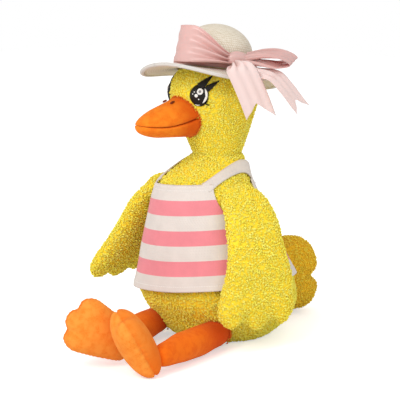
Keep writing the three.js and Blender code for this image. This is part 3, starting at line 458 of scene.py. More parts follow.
# no pile grows under the top and its straps, nor where the middle of the seat bears on the table
clear = np.abs(np.abs(angle) - SEAM_TURN) > arm_side(z) + 2
covered = clear & (z > top_height(angle, 0) + 3) & (z < top_height(angle, 1) - 2)
straps = (np.abs(np.abs(x) - STRAP_AT) < 5) & (z > 155)
under = (z < 1.5) & (np.hypot(x, y) < 38)
note(body, "pile", np.where(covered | straps | under, 0.0, 1.0))
grow_pile(body, duck_yellow, spacing=2.0, curl=1.05, tall=1.2, strand=0.8, droop=-0.2, seed=11)
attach(body, "body")
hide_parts("body_skin", "body_stuffing", "pellet_bag")

# The tail: two plump lobes of the same fleece, clipped shorter, in one pad that stands on edge and is
# sewn to the back of the body. Its fleece is painted darker and more golden: painted shade.


def pillow(outline, centre, thick, inset=0.0, fullness=0.6, rings=15):
    """A swollen pad over a flat closed outline, as rings across its thickness."""
    half, skin = thick / 2 - inset, []
    for lift in np.radians(np.linspace(-78, 78, rings)):
        away = np.asarray(outline) - centre
        length = np.linalg.norm(away, axis=1, keepdims=True)
        ring = centre + away / length * (length - inset) * math.cos(lift) ** fullness
        skin.append(np.column_stack([ring, np.full(len(ring), half * math.sin(lift))]))
    points, faces = lofted(skin)
    points[-2:, 2] = -half, half
    return points, faces


# painted shade: the tail's fleece colours are darker than the body's, though it is the same fleece
tail_shaded_yellow = fleece("tail_painted_shade_fleece", "#fbd836", "#ffe650", "#f0bc20")
TAIL_LOW, TAIL_HIGH, TAIL_END, TAIL_ROOT = 2, 82, 147, 60
TALL = TAIL_HIGH - TAIL_LOW
outline = evenly(spline([
    (TAIL_ROOT, TAIL_LOW + TALL * 0.12), (TAIL_END * 0.86, TAIL_LOW), (TAIL_END, TAIL_LOW + TALL * 0.26),
    (TAIL_END - 8, TAIL_LOW + TALL * 0.47), (TAIL_END - 2, TAIL_LOW + TALL * 0.7),
    (TAIL_END * 0.84, TAIL_HIGH), (TAIL_ROOT, TAIL_HIGH - TALL * 0.1),
    (TAIL_ROOT, TAIL_LOW + TALL * 0.12)], 300), 81)[:-1]
pad, faces = pillow(outline, np.array([103.5, 42]), thick=58, inset=2)
tail = made("tail", pad[:, [2, 0, 1]], faces)
at = places(tail)
# the two lobes swell apart along the seam between them
crease = np.exp(-((at[:, 2] - (TAIL_LOW + TALL * 0.47)) / 6) ** 2) * ramp(at[:, 1], 100, 145)
at[:, 0] *= 1 - 0.35 * crease
move_to(tail, at)
note(tail, "pile", (at[:, 1] > 70).astype(float))
grow_pile(tail, tail_shaded_yellow, spacing=1.8, curl=0.85, tall=1.3, strand=0.6, droop=-0.1, seed=12)
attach(tail, "body")
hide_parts("tail_skin", "tail_stuffing")

# The head: the same curly fleece over firm fibre, on a neck that is sewn round into the body's top
# and gives when the head turns. The hat and the stitched face sit on places with no pile.
# the duck looks 12 degrees to its right
HEAD = Matrix.Translation((0, -NECK_AHEAD, NECK_TOP + 0.3)) @ turned(-12, "Z")
CHEEK_UP, HEAD_AHEAD = 54, 3.5
HEAD_SIDE = [(24.5, 0), (30, 14), (44.5, CHEEK_UP), (42.5, 71), (33, 85), (26, 94.5), (17, 102),
             (8, 106.6), (0, 108)]
head_line = spline(HEAD_SIDE, 400)


def framed(matrix, points):
    """Points of a piece's own frame in the duck's frame."""
    turn = np.array(matrix)
    return np.asarray(points) @ turn[:3, :3].T + turn[:3, 3]


def head_radius(height):
    """The radius of the head's outside at a height over the neck."""
    return np.interp(height, head_line[:, 1], head_line[:, 0])


def head_ahead(height):
    """How far forward of the neck the head's middle is."""
    return HEAD_AHEAD * ramp(height, 0, CHEEK_UP)


def on_head(angle, height, out=0.0):
    """A place on the head, in its own frame, at an angle in degrees from its front towards its left."""
    return round_about(-head_ahead(height), head_radius(height) + out, angle, height)


rings = []
for radius, height in evenly(spline(HEAD_SIDE, 200), 60)[:-1]:
    turn = np.linspace(0, 360, 84, endpoint=False)
    middle = np.array([0, -head_ahead(height), height])
    inside = max(radius - PILE, 1) / max(radius, 1)
    rings.append(middle + (on_head(turn, height) - middle) * inside)
# the neck's cloth runs on a little inside the body
tucked = rings[0].copy()
tucked[:, 2] -= 9
tucked[:, :2] *= 0.86
points, faces = lofted([tucked, *rings])
head = made("head", framed(HEAD, points), faces)

# the eyes' angle from the front and their height: the right one sits a little further round
EYE_TURN, EYE_ROUND, EYE_UP = 34, 3, 61
x, y, z = framed(HEAD.inverted(), places(head)).T
angle = np.degrees(np.arctan2(x, -(y + head_ahead(z))))
aside = (np.abs(angle) - EYE_TURN - EYE_ROUND * (angle < 0)) * 0.77  # in millimetres along the cheek
eyes = (aside / 9.8) ** 2 + ((z - EYE_UP) / 10.8) ** 2 < 1
mouth = ((x / 19) ** 2 + ((z - 40) / 18) ** 2 < 1) & (y < -6)

# the hat is put on a little askew and tipped back; its crown is upright up to CROWN_TURN and then domed
HAT_TURN, CROWN_TURN = 22, 42
HAT = HEAD @ Matrix.Translation((0, -6.5, 54)) @ turned(HAT_TURN, "Z") @ turned(-10.5, "X")
# pile grows under the hat too, where the inside of its crown leaves 4 mm
x, y, z = framed(HAT.inverted(), places(head)).T
reach = np.hypot(x, y)
room = np.where(z < CROWN_TURN, 38.4 - reach, 33 * (1 - np.hypot(reach / 36, (z - CROWN_TURN) / 31)))
pressed = (z > 24) & (room < 4)
note(head, "pile", np.where(eyes | mouth | pressed, 0.0, 1.0))
grow_pile(head, duck_yellow, spacing=1.8, curl=0.95, tall=1.1, strand=0.7, droop=-0.15, seed=13)
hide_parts("head_skin", "head_stuffing")
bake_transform(head)

# The wings: long scalloped paddles of fleece, both sides alike, turned through the gathered root,
# filled lightly and sewn into the shoulders so that they swing.
joints = {joint["name"]: joint for joint in frame["joints"]}
WING_LONG = 138


def direction(line):
    """Which way a line runs at each of its points."""
    run = np.gradient(line, axis=0)
    return run / np.linalg.norm(run, axis=1, keepdims=True)


def wing_outline(count):
    """The flat wing: its width across and the distance from its root, with three scallops at its end."""
    right = [(19, 0.02), (24.7, 0.2), (27.6, 0.5), (37.2, 0.76), (40, 0.88), (28.8, 0.975)]
    right = [(x, y * WING_LONG) for x, y in right]
    notch = (16, WING_LONG - 9)
    left = [(-x, y) for x, y in [notch, *right[::-1]]]
    round_ = [(0, -7.6), *right, notch, (0, WING_LONG), *left, (0, -7.6)]
    return evenly(spline(round_, 500), count + 1)[:-1]


def wing(name, heading, raised, seed, bend):
    """One wing, hung from its joint along a bent line, pushed out where the dressed body is in its way."""
    wing_bend = evenly(spline(bend, 200) * WING_LONG, 200)
    middle = np.array([0, WING_LONG * 0.62])
    pad, faces = pillow(wing_outline(110), middle, thick=21, inset=1.4, rings=17)
    along = np.clip(pad[:, 1] / WING_LONG, 0, 1)
    past = pad[:, 1] - along * WING_LONG
    step, steps = along * 199, np.arange(200)
    x, z = (np.interp(step, steps, column) for column in wing_bend.T)
    run_x, run_z = (np.interp(step, steps, column) for column in direction(wing_bend).T)
    # the rear edge of the left wing hangs fuller
    full = 0.15 * np.exp(-((along - 0.35) / 0.22) ** 2) + 0.24 * np.exp(-((along - 0.58) / 0.15) ** 2)
    across = -pad[:, 0] * (1 + full * (pad[:, 0] < 0) * (name == "left_wing"))
    own = np.column_stack([
        x - run_z * pad[:, 2] + run_x * past, across, z + run_x * pad[:, 2] + run_z * past])
    # the gathered root is packed round
    gathers, low = np.array([13.0, 19.0, 13.0]), np.array([2.0, 0, -5.0])
    spread = np.linalg.norm((own - low) / gathers, axis=1, keepdims=True)
    own = low + (own - low) * (spread ** 6 + 1) ** (1 / 6) / np.maximum(spread, 0.05)
    root = Vector(joints[name + "_raise"]["pos_m"]) * 1000
    at = framed(Matrix.Translation(root) @ turned(heading, "Z") @ turned(-raised, "Y"), own)
    axis = np.column_stack([np.zeros(len(at)), body_back(at[:, 2])])
    away = at[:, :2] - axis
    reach = np.linalg.norm(away, axis=1)
    # the top stands out over its lowest 30 mm, and the wing lies 4.5 mm off the body
    flare = 4 * np.clip((82 - at[:, 2]) / 30, 0, 1) ** 2
    room = body_radius(at[:, 2]) + flare + 4.5
    free = ramp(np.linalg.norm(at - np.array(root), axis=1), 12, 30)
    pushed = np.where(reach < room, reach + (room - reach) * free, reach)
    at[:, :2] = axis + away * (pushed / reach)[:, None]
    piece = made(name, at, faces)
    note(piece, "pile", (np.linalg.norm(places(piece) - np.array(root), axis=1) > 6).astype(float))
    grow_pile(piece, duck_yellow, spacing=2.0, curl=1.1, tall=1.3, strand=0.82, droop=-0.35, seed=seed)
    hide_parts(name + "_skin", name + "_stuffing")
    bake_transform(piece)


wing("left_wing", heading=-23, raised=0, seed=21,
     bend=[(0, 0), (0.15, -0.14), (0.23, -0.42), (0.27, -0.92)])
wing("right_wing", heading=-180, raised=23, seed=22,
     bend=[(0, 0), (0.08, -0.16), (0.14, -0.43), (0.21, -0.93)])

# The beak: two halves of short orange velour, filled firmly and joined along the mouth, with the
# nostrils as two stitches of dark thread.


def velour(name, code, dark, painted_shade):
    """Short-cut polyester velour: mottled where the nap lies askew, and darker where each piece's points hold
    painted shade.
    """
    material, tree = new_material(name)
    nap, fibre = noise(tree, 150, 4), noise(tree, 1300, 2)
    worn = add(tree, "ShaderNodeMapRange", {0: nap, 1: 0.4, 2: 0.62, 3: 0.0, 4: 1.0})
    fine = add(tree, "ShaderNodeMapRange", {0: fibre, 1: 0.35, 2: 0.65, 3: 0.25, 4: 1.0})
    brushed = mix(tree, maths(tree, "MULTIPLY", worn, fine), srgb(code), srgb(dark))
    # painted shade: the colour turns towards the darkest one as far as each point's share says
    colour = mix(tree, noted(tree, "painted_shade"), brushed, srgb(painted_shade))
    sheen = {"Sheen Weight": 0.35, "Sheen Roughness": 0.4, "Sheen Tint": srgb("#ffb060")}
    return finished(material, coat(tree, colour, 0.9, 0.15, bump(tree, fibre, 0.6, 0.0007), sheen))


beak_orange = velour("beak_orange_velour", "#f98a22", "#ec6c12", "#d6560a")
BEAK_ROOT, BEAK_LONG, BEAK_STEPS = 30, 60, 34
BEAK_WIDE, BEAK_HIGH, BEAK_LOW = (42, 34), (66, 42), (18, 21)  # each at the head and at the tip
mouth_line = spline([(20, 40), (30, 39), (46, 34.4), (62, 31.8), (78, 31.8), (92, 33.4)], 100)


def beak_ring(run, turn):
    """Places round the beak at a share of its length, and the height of the mouth there."""
    reach = BEAK_ROOT + BEAK_LONG * run
    tip = math.sqrt(max(1 - max(run - 0.62, 0) ** 2 / 0.38 ** 2, 0))
    wide, top, bottom = (root + (end - root) * share for (root, end), share in (
        (BEAK_WIDE, run), (BEAK_HIGH, run ** 0.8), (BEAK_LOW, run)))
    wide, tall = wide * (0.25 + 0.75 * tip), (top - bottom) * (0.3 + 0.7 * tip)
    mouth = float(np.interp(reach, mouth_line[:, 0], mouth_line[:, 1]))
    return wide / 2 * np.cos(turn), -HEAD_AHEAD - reach, (top + bottom) / 2 + tall / 2 * np.sin(turn), mouth


def beak_half(upper):
    """Rings of one half of the beak, from inside the head to the tip, with rounded lips."""
    rings = []
    for run in np.sin(np.linspace(0, 1, BEAK_STEPS) * np.pi / 2 * 0.985):
        across, along, up, mouth = beak_ring(run, circle(720))
        line = mouth + (0.15 if upper else -0.15)
        kept = up > line if upper else up < line
        start = np.argmax(kept & ~np.roll(kept, 1))
        order = np.roll(np.arange(720), -start)
        order = order[kept[order]]
        arc = np.column_stack([across[order], up[order]])
        ring = evenly(np.vstack([arc, arc[:1]]), 65)[:-1]
        for _ in range(7):  # the lips are turned edges, so their corners are round
            ring = (np.roll(ring, 1, 0) + 2 * ring + np.roll(ring, -1, 0)) / 4
        rings.append(np.column_stack([ring[:, 0], np.full(64, along), ring[:, 1]]))
    return rings


def ruffle(name, crossing, finish, spacing, curl, seed):
    """Loose curls of pile that escape round a seam, on a narrow band laid along it, clear of the table."""
    band = made(name, *lofted([crossing(-0.8), crossing(0.2), crossing(1.2)], poles=False))
    note(band, "pile", (places(band)[:, 2] > 4).astype(float))
    return grow_pile(band, finish, spacing, curl, tall=1.1, strand=0.42, droop=0.0, seed=seed)


for half, node in ((True, "beak_upper"), (False, "beak_lower")):
    points, faces = lofted(beak_half(half))
    beak = made(node + "_velour", framed(HEAD, points), faces, beak_orange)
    # painted shade: the velour is painted darker towards the cheeks, where the beak goes into the head
    note(beak, "painted_shade", 0.9 * (1 - ramp(-points[:, 1] - HEAD_AHEAD, 38, 62)))
    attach(beak, "head")
    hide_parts(node, *(["beak_stuffing"] if half else []))


def beak_seam(past):
    """The line where the beak meets the cheeks, moved along it by some millimetres."""
    line = []
    for turn in circle(72):
        for run in np.linspace(0, 0.6, 121):
            x, y, z, _ = beak_ring(run, turn)
            if math.hypot(x, y + float(head_ahead(z))) > head_radius(z) - 0.6:
                break
        x, y, z, _ = beak_ring(max(run + past / BEAK_LONG, 0), turn)
        line.append((x * 0.99, y, 41 + (z - 41) * 0.99))
    return framed(HEAD, line)


# the last colour is the painted shade at the curls' roots
seam_orange = fleece("seam_orange_pile", "#f0721a", "#f88a2c", "#d85a10")
curls = ruffle("beak_seam_curls", beak_seam, seam_orange, spacing=1.3, curl=0.6, seed=41)
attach(curls, "head")

# The eyes: machine-stitched ovals of black thread with white stitches for the glints, and two long
# lashes. They lie on the bare cloth, proud by the height of the thread.


def thread(name, code, slant):
    """Rayon embroidery thread in satin stitch: fine parallel strands with a silky shine."""
    material, tree = new_material(name)
    where = add(tree, "ShaderNodeTexCoord").outputs["Object"]
    slanted = add(tree, "ShaderNodeMapping", {"Vector": where, "Rotation": (0.3, slant, 0.2)})
    strands = add(tree, "ShaderNodeTexWave", {"Vector": slanted, "Scale": 700.0, "Distortion": 1.0},
                  bands_direction="X").outputs["Fac"]
    return finished(material, coat(tree, srgb(code), 0.45, 0.3, bump(tree, strands, 0.4, 0.0004)))


black_thread = thread("black_embroidery_thread", "#0a0807", 0.4)
white_thread = thread("white_embroidery_thread", "#f4f2ee", 1.0)
grey_thread = thread("grey_embroidery_thread", "#8d8a88", 1.0)


def on_face(side, across, up, out):
    """A place near an eye, in millimetres across towards the ear and up from the eye's middle."""
    height = EYE_UP + np.asarray(up, float)
    round_cheek = np.degrees(np.asarray(across, float) / 44)  # the head's radius there
    turn = side * (EYE_TURN + EYE_ROUND * (side < 0) + round_cheek)
    return framed(HEAD, on_head(turn, height, out))


def stitched_patch(name, side, outline, low, high, finish):
    """A domed patch of stitches over an outline given across and up, from a low rim to a high middle."""
    outline = np.asarray(outline, float)
    middle = outline.mean(0)
    rings = []
    for share, lift in ((1.0, -1.5), (1.0, 0.0), (0.96, 0.6), (0.8, 0.9), (0.5, 1.0), (0.2, 1.0)):
        ring = middle + (outline - middle) * share
        height = low + (high - low) * lift if lift >= 0 else low + lift
        rings.append(on_face(side, ring[:, 0], ring[:, 1], height))
    return made(name, *lofted(rings), finish)


def oval(across, up, wide, tall, count=40):
    """The outline of an oval."""
    turn = circle(count)
    return np.column_stack([across + wide / 2 * np.cos(turn), up + tall / 2 * np.sin(turn)])


def stroke(line, widths, count=24):
    """The outline of a tapered stroke along a line."""
    line = evenly(spline(line, 60), count)
    run = direction(line)
    over = np.column_stack([-run[:, 1], run[:, 0]])
    half = np.interp(np.linspace(0, 1, count), np.linspace(0, 1, len(widths)), widths)[:, None] / 2
    return np.vstack([line + over * half, (line - over * half)[::-1]])


# strokes by lines across and up from the eye's middle, and their widths
LASHES = [([(0, 8), (4.5, 12), (9, 15.8), (13.5, 19)], (8, 6.6, 3.6, 0.4)),
          ([(6.5, 5.5), (11, 8.6), (15.5, 11.6), (20.5, 14.2)], (6.4, 5.2, 2.8, 0.4)),
          ([(5.5, -7), (8, -8.5), (10, -9)], (1.4, 1.0, 0.3))]
GLINTS = [oval(1.5, 4, 6.2, 6.2, 28), oval(-2, 0, 3.4, 3.4, 20), oval(0.5, -3.5, 1.3, 1.3, 12),
          oval(-4, 3.5, 1.2, 1.2, 12), oval(-5.5, 1.5, 1.2, 1.2, 12),
          stroke([(6, 7), (8.1, 3.6), (8.2, -0.8), (6.6, -4.6), (4, -7.2)], (0.3, 0.9, 1.1, 0.9, 0.3)),
          stroke([(-3.5, -8.5), (-1.5, -9.3), (1, -9)], (0.4, 0.9, 0.4))]
for side, word in ((1, "left"), (-1, "right")):
    eye = stitched_patch("eye_" + word + "_oval", side, oval(0, 0, 20, 22), -2.4, 0.9, black_thread)
    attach(eye, "head")
    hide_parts("eye_" + word)
    patches = [stitched_patch(f"lash_{word}_{k}", side, stroke(line, widths), -0.2, 0.9, black_thread)
               for k, (line, widths) in enumerate(LASHES)]
    patches += [stitched_patch(f"glint_{word}_{k}", side, outline, 0.75, 1.25, white_thread)
                for k, outline in enumerate(GLINTS)]
    core = oval(1.5, 4, 2.8, 2.8, 20)
    patches.append(stitched_patch(f"glint_{word}_core", side, core, 1.1, 1.5, grey_thread))
    for piece in patches:
        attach(piece, "head")

# The nostrils: two short bars of brown embroidery thread, one on each side of the beak's upper half,
# stitched down tight on the velour.
brown_thread = thread("brown_embroidery_thread", "#7a2d14", 0.8)
for node in ("nostril_left", "nostril_right"):
    low, high = (np.array(c) * 1000 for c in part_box(node))
    middle, reach = (low + high) / 2, (high - low) / 2
    rings = []
    for share in np.linspace(-1, 1, 11):
        thick, turn = 1.1 * math.sqrt(max(1 - share ** 2, 0.02)), circle(12)
        # the bar follows the slope of the beak from its upper to its lower end
        centre = middle + np.array([0, reach[1] * share, reach[2] * 0.45 * share + 0.5])
        rings.append(centre + np.column_stack([thick * np.cos(turn), np.zeros(12), thick * np.sin(turn)]))
    bar = made(node + "_stitch", *lofted(rings), brown_thread)
    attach(bar, "head")
    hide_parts(node)

# The legs: tubes of the same velour as the beak, filled loosely and sewn into the low front of the
# body, where the fleece closes round them.
leg_orange = velour("leg_orange_velour", "#f67414", "#ea600c", "#de4a06")
LEG_LONG, LEG_THICK, HIP_THICK = 106, 14, 13.2  # the last two are radii, of its middle and its root
# the last colour is the painted shade at the curls' roots
hip_orange = fleece("hip_orange_pile", "#f0641a", "#f47a24", "#d04a0c")
LEGS = {"left": {"yaw": 11.5, "foot_yaw": -45, "pitch": 29, "roll": 0},
        "right": {"yaw": 21, "foot_yaw": 42, "pitch": 0, "roll": -60}}


def leg(name, pose):
    """One leg, from its root inside the body to its end inside the foot."""
    hip = Vector(joints[name + "_hip"]["pos_m"]) * 1000
    ankle = Vector(joints[name + "_ankle"]["pos_m"]) * 1000
    rise = math.asin((ankle.z - hip.z) / LEG_LONG)
    stand = Matrix.Translation(hip) @ turned(pose["yaw"], "Z") @ Matrix.Rotation(-rise, 4, "X")
    side = evenly(spline([
        (3, -13), (8.5, -9), (12, 0), (LEG_THICK, LEG_LONG * 0.3), (LEG_THICK, LEG_LONG * 0.62),
        (11, LEG_LONG * 0.94), (8, LEG_LONG + 5), (2, LEG_LONG + 7)], 200), 44)
    rings, turn = [], circle(40)
    for radius, along in side:
        # the cloth is drawn up a little where the filling is loose
        slack = radius * (1 + 0.02 * np.sin(3 * turn + along / 9) + 0.012 * np.sin(along / 5))
        rings.append(np.column_stack([slack * np.cos(turn), np.full(40, -along), slack * np.sin(turn)]))
    at, faces = lofted(rings)
    painted_shade = 1 - ramp(-at[:, 1], 14, 62)  # painted shade: darker near the body, where the leg goes in
    at = framed(stand, at)
    at[:, 2] = np.maximum(at[:, 2], 0.3)
    piece = made(name + "_leg", at, faces, leg_orange)
    note(piece, "painted_shade", painted_shade)
    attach(piece, name + "_leg")
    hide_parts(name + "_leg_skin", name + "_leg_stuffing")

    def hip_seam(past):
        """The line where the leg comes out of the body, moved along the leg by some millimetres."""
        line = []
        for turn in circle(60):
            across, up = HIP_THICK * math.cos(turn), HIP_THICK * math.sin(turn)
            for along in np.linspace(0, 60, 121):
                x, y, z = framed(stand, [across, -along, up])
                met = math.hypot(x, y - float(body_back(z))) > body_radius(z) - 1
                if met:
                    break
            x, y, z = framed(stand, [across, -along - past, up])
            # where the leg doesn't come out of the body, the line stays low, and no curls grow there
            line.append((x, y, max(z, 0.8) if met else 0.8))
        return line

    curls = ruffle(name + "_hip_curls", hip_seam, hip_orange, spacing=1.7, curl=0.8, seed=51)
    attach(curls, name + "_leg")


# The feet: two shapes of velour with three toes each, sewn together round their edge, filled, and
# pulled in by the seam. Each stands on its heel at the end of a leg.
foot_orange = velour("foot_orange_velour", "#fa9c3e", "#f28024", "#ea6e16")
FOOT_LONG, FOOT_WIDE, FOOT_THICK, HEEL = 70, 52, 33, 11


def foot_outline(count):
    """The flat foot about its ankle, from the heel to three toes."""
    half, top = FOOT_WIDE / 2, FOOT_LONG - HEEL
    right = [(half * 0.55, -HEEL * 0.75), (half * 0.78, top * 0.15), (half * 0.95, top * 0.5),
             (half, top * 0.72), (half * 0.78, top * 0.88), (half * 0.42, top - 6), (half * 0.25, top * 0.97)]
    left = [(-x, y) for x, y in right[::-1]]
    return evenly(spline([(0, -HEEL), *right, (0, top), *left, (0, -HEEL)], 400), count + 1)[:-1]


def foot(name, pose):
    """One foot about its ankle, at rest on the table."""
    ankle = Vector(joints[name + "_ankle"]["pos_m"]) * 1000
    middle = np.array([0, 24])
    away = foot_outline(180) - middle
    length = np.linalg.norm(away, axis=1)
    girth = np.linspace(0, 2 * np.pi * 46, 180, endpoint=False)  # 46 stitches go round the foot
    rings = []
    for lift in np.radians([*np.linspace(-80, -12, 11), -6, -2.5, 0, 2.5, 6, *np.linspace(12, 80, 11)]):
        # two cloths pulled together by the seam: a groove round the edge, and puckers that die out
        slope = math.degrees(abs(lift))
        groove = 1.6 * math.exp(-(slope / 3.2) ** 2)
        pucker = 0.28 * math.exp(-((slope - 8) / 9) ** 2) * np.sin(girth + 1.5 * np.sin(girth / 7))
        reach = (length - groove + pucker) * (1 - abs(math.sin(lift)) ** 2.3) ** 0.5
        ring = middle + away / length[:, None] * reach[:, None]
        rings.append(np.column_stack([ring, np.full(180, FOOT_THICK / 2 * math.sin(lift))]))
    pad, faces = lofted(rings)
    pad[-2:, 2] = -FOOT_THICK / 2, FOOT_THICK / 2
    stand = (Matrix.Translation(ankle) @ turned(pose["yaw"], "Z") @ turned(pose["foot_yaw"], "Z")
             @ turned(pose["pitch"], "X") @ turned(pose["roll"], "Y")
             @ Matrix.Translation((0, 2.2 - FOOT_THICK / 2, 0)) @ turned(90, "X"))
    at = framed(stand, pad)
    at[:, 2] = np.maximum(at[:, 2], 0)
    piece = made(name + "_foot", at, faces, foot_orange)
    # painted shade: the upper cloth is painted darker, and darkest towards the ankle
    upper = ramp(-pad[:, 2], -1, 1)
    note(piece, "painted_shade", upper * (0.45 + 0.5 * (1 - ramp(np.linalg.norm(pad[:, :2], axis=1), 12, 40))))
    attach(piece, name + "_foot")
    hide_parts(name + "_foot_skin", name + "_foot_stuffing")


for name, pose in LEGS.items():
    leg(name, pose)
    foot(name, pose)

# The top: fine cotton knit in pink and white stripes, cut as a front and a back panel, hemmed above
# and below, and held up by two white straps.


def cloth(name, rows, thick, material):
    """A sheet of cloth through rows of points, with its threads' own directions kept as a map in metres."""
    rows = np.asarray(rows, float)
    count, wide = rows.shape[:2]
    faces = [(k * wide + j, k * wide + j + 1, (k + 1) * wide + j + 1, (k + 1) * wide + j)
             for k in range(count - 1) for j in range(wide - 1)]
    mesh = bpy.data.meshes.new(name)
    mesh.from_pydata((rows.reshape(-1, 3) / 1000).tolist(), [], faces)
    across = np.cumsum(np.pad(np.linalg.norm(np.diff(rows, axis=1), axis=2), ((0, 0), (1, 0))), axis=1)
    across -= across.mean(axis=1, keepdims=True)
    along = np.cumsum(np.pad(np.linalg.norm(np.diff(rows, axis=0), axis=2), ((1, 0), (0, 0))), axis=0)
    flat = np.stack([across, along], -1).reshape(-1, 2) / 1000
    threads = mesh.uv_layers.new(name="threads")
    corner = np.empty(len(mesh.loops), int)
    mesh.loops.foreach_get("vertex_index", corner)
    threads.data.foreach_set("uv", flat[corner].ravel().astype(np.float32))
    mesh.shade_smooth()
    mesh.materials.append(material)
    piece = put_in(name, mesh)
    note(piece, "length", np.repeat(np.linspace(0, 1, count), wide))
    wall = piece.modifiers.new("wall", "SOLIDIFY")
    wall.thickness = thick / 1000
    wall.offset = 0
    wall.use_even_offset = True
    return settled(piece)


def thread_map(tree):
    """The map of a cloth that follows its threads."""
    return add(tree, "ShaderNodeUVMap", uv_map="threads")


def waves(tree, pitch, uneven, way, detail=1.0):
    """The rise and fall of threads at a pitch in metres, counted across the cloth or along it."""
    return add(tree, "ShaderNodeTexWave", {
        "Vector": thread_map(tree), "Scale": 1 / pitch / 6.28, "Distortion": uneven, "Detail Scale": detail},
        bands_direction=way).outputs["Fac"]


def knit(name, plain, stripe=None):
    """Fine cotton jersey: matt, with rows of small stitches, and stripes knitted in dyed yarn."""
    material, tree = new_material(name)
    ribs, rows = (waves(tree, 0.0014, 0.6, way) for way in "XY")
    relief = bump(tree, maths(tree, "MULTIPLY", ribs, rows), 0.25, 0.0005)
    yarn = srgb(plain)
    if stripe:
        # seven equal bands from hem to edge, the first and the last of them plain
        cycle = maths(tree, "FRACT", maths(tree, "MULTIPLY", noted(tree, "length"), 3.5))
        yarn = mix(tree, maths(tree, "GREATER_THAN", cycle, 0.5), yarn, srgb(stripe))
    faded = add(tree, "ShaderNodeMapRange", {0: noise(tree, 90, 3), 1: 0.3, 2: 0.7, 3: 0.95, 4: 1.02})
    tone = add(tree, "ShaderNodeHueSaturation", {"Value": faded, "Color": yarn})
    sheen = {"Sheen Weight": 0.15, "Sheen Roughness": 0.5}
    return finished(material, coat(tree, tone, 0.85, 0.2, relief, sheen))


striped_knit = knit("striped_cotton_knit", "#dfd5cd", "#ea8a92")
white_knit = knit("white_cotton_knit", "#e0d7d0")
TOP_OUT = 1.2  # how far the middle of its cloth lies from the body


def dressed(angle, share):
    """A place on the cloth of the top, which stands out a little towards its hem."""
    height = top_height(angle, share)
    long = top_height(angle, 1) - top_height(angle, 0)
    flare = (2.6 + 1.4 * np.cos(np.radians(angle))) * np.clip(1 - share * long / 30, 0, 1) ** 2
    # the knit buckles softly between hem and belly, and both edges are turned in and stitched down
    slack = 0.5 * np.sin(np.radians(angle) * 9 + 3 * share) * (1 - share) ** 2
    inwards = np.minimum(share, 1 - share) * long
    fold = 0.5 * (1 - ramp(inwards, 5.5, 6.5)) - 0.45 * np.exp(-((inwards - 5) / 0.6) ** 2)
    return on_body(angle, height, TOP_OUT + flare + slack + fold)


def across_panel(middle, seam, share, gap, count):
    """Angles across a panel, which ends a gap in degrees short of its side seams and armholes."""
    ends = [(side, middle + side * seam) for side in (-1, 1)]
    return np.linspace(*[e - side * (arm_side(top_height(e, share)) + gap) for side, e in ends], count)


for name, middle, seam in (("top_front", 0, SEAM_TURN), ("top_back", 180, 180 - SEAM_TURN)):
    shares = np.linspace(0, 1, 104)
    rows = [dressed(across_panel(middle, seam, share, 0.3, 121), share) for share in shares]
    panel = cloth(name + "_knit", rows, 0.9, striped_knit)
    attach(panel, "body")
    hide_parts(name)

STRAP_END = 158  # the height of the seams that hold it


def over_shoulder(x, y):
    """The height of the dressed body above a place on the floor."""
    heights = np.linspace(STRAP_END - 3, NECK_TOP, 300)
    gap = np.hypot(x, y - body_back(heights)) - body_radius(heights) - TOP_OUT - 0.3
    inside = np.nonzero(gap > 0)[0]
    return heights[inside[0]] if len(inside) else NECK_TOP


for side, word in ((1, "left"), (-1, "right")):
    front_end = on_body(math.degrees(math.asin(STRAP_AT / float(body_radius(STRAP_END)))), STRAP_END)[1]
    back_end = 2 * float(body_back(STRAP_END)) - front_end
    rows = []
    for share in np.linspace(0, 1, 50):
        y = front_end + (back_end - front_end) * (0.5 - 0.5 * math.cos(math.pi * share))
        # both ends lie on the outside of the panels
        y += (-1.0 if share < 0.5 else 1.0) * 1.2 * (1 - math.sin(math.pi * share))
        across = side * (STRAP_AT + 4 * math.sin(math.pi * share) + np.linspace(-0.5, 0.5, 7) * STRAP_WIDE)
        rows.append(np.array([(x, y, over_shoulder(x, y)) for x in across]))
    rows = np.array(rows)
    for _ in range(4):  # drawn over the shoulder, the strap bridges small hollows
        rows[1:-1] = (rows[:-2] + 2 * rows[1:-1] + rows[2:]) / 4
    strap = cloth("strap_" + word + "_knit", rows, 1.2, white_knit)
    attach(strap, "body")
    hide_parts("strap_" + word)

# Rows of white machine stitching hold the turned-in edges of the top down: short bars of thread laid
# end to end, each pulled a little into the cloth.


def stitch_tree():
    """Bars of thread at an even pitch along a line."""
    tree, given = new_tree("machine_stitching", "Stitches", {
        "Line": "Geometry", "Pitch": "Float", "Bar": "Vector", "Finish": "Material"})
    run = add(tree, "GeometryNodeMeshToCurve", {0: given["Line"]})
    dots = add(tree, "GeometryNodeResampleCurve", {"Curve": run, "Length": given["Pitch"]}, mode="LENGTH")
    bar = add(tree, "GeometryNodeMeshUVSphere", {"Segments": 6, "Rings": 4, "Radius": 1.0})
    way = add(tree, "GeometryNodeInputTangent")
    lie = add(tree, "FunctionNodeAlignRotationToVector", {"Vector": way}, axis="Z")
    bars = add(tree, "GeometryNodeInstanceOnPoints", {
        "Points": dots, "Instance": bar, "Rotation": lie, "Scale": given["Bar"]})
    real = add(tree, "GeometryNodeRealizeInstances", {0: bars})
    finish = add(tree, "GeometryNodeSetMaterial", {"Geometry": real, "Material": given["Finish"]})
    add(tree, "NodeGroupOutput", {0: finish})
    return tree


machine_stitching = stitch_tree()
seam_thread = thread("white_sewing_thread", "#f3eee8", 0.2)


def stitched(name, line, finish=seam_thread, pitch=2.4, thick=0.32):
    """A row of stitches along a line of places in millimetres."""
    mesh = bpy.data.meshes.new(name)
    points = evenly(np.asarray(line, float), max(len(line), 60))
    mesh.from_pydata((points / 1000).tolist(), [(k, k + 1) for k in range(len(points) - 1)], [])
    bar = (thick / 1000, thick / 1000, pitch * 0.4 / 1000)
    return worked_in(put_in(name, mesh), machine_stitching, {
        "Pitch": pitch / 1000, "Bar": bar, "Finish": finish})


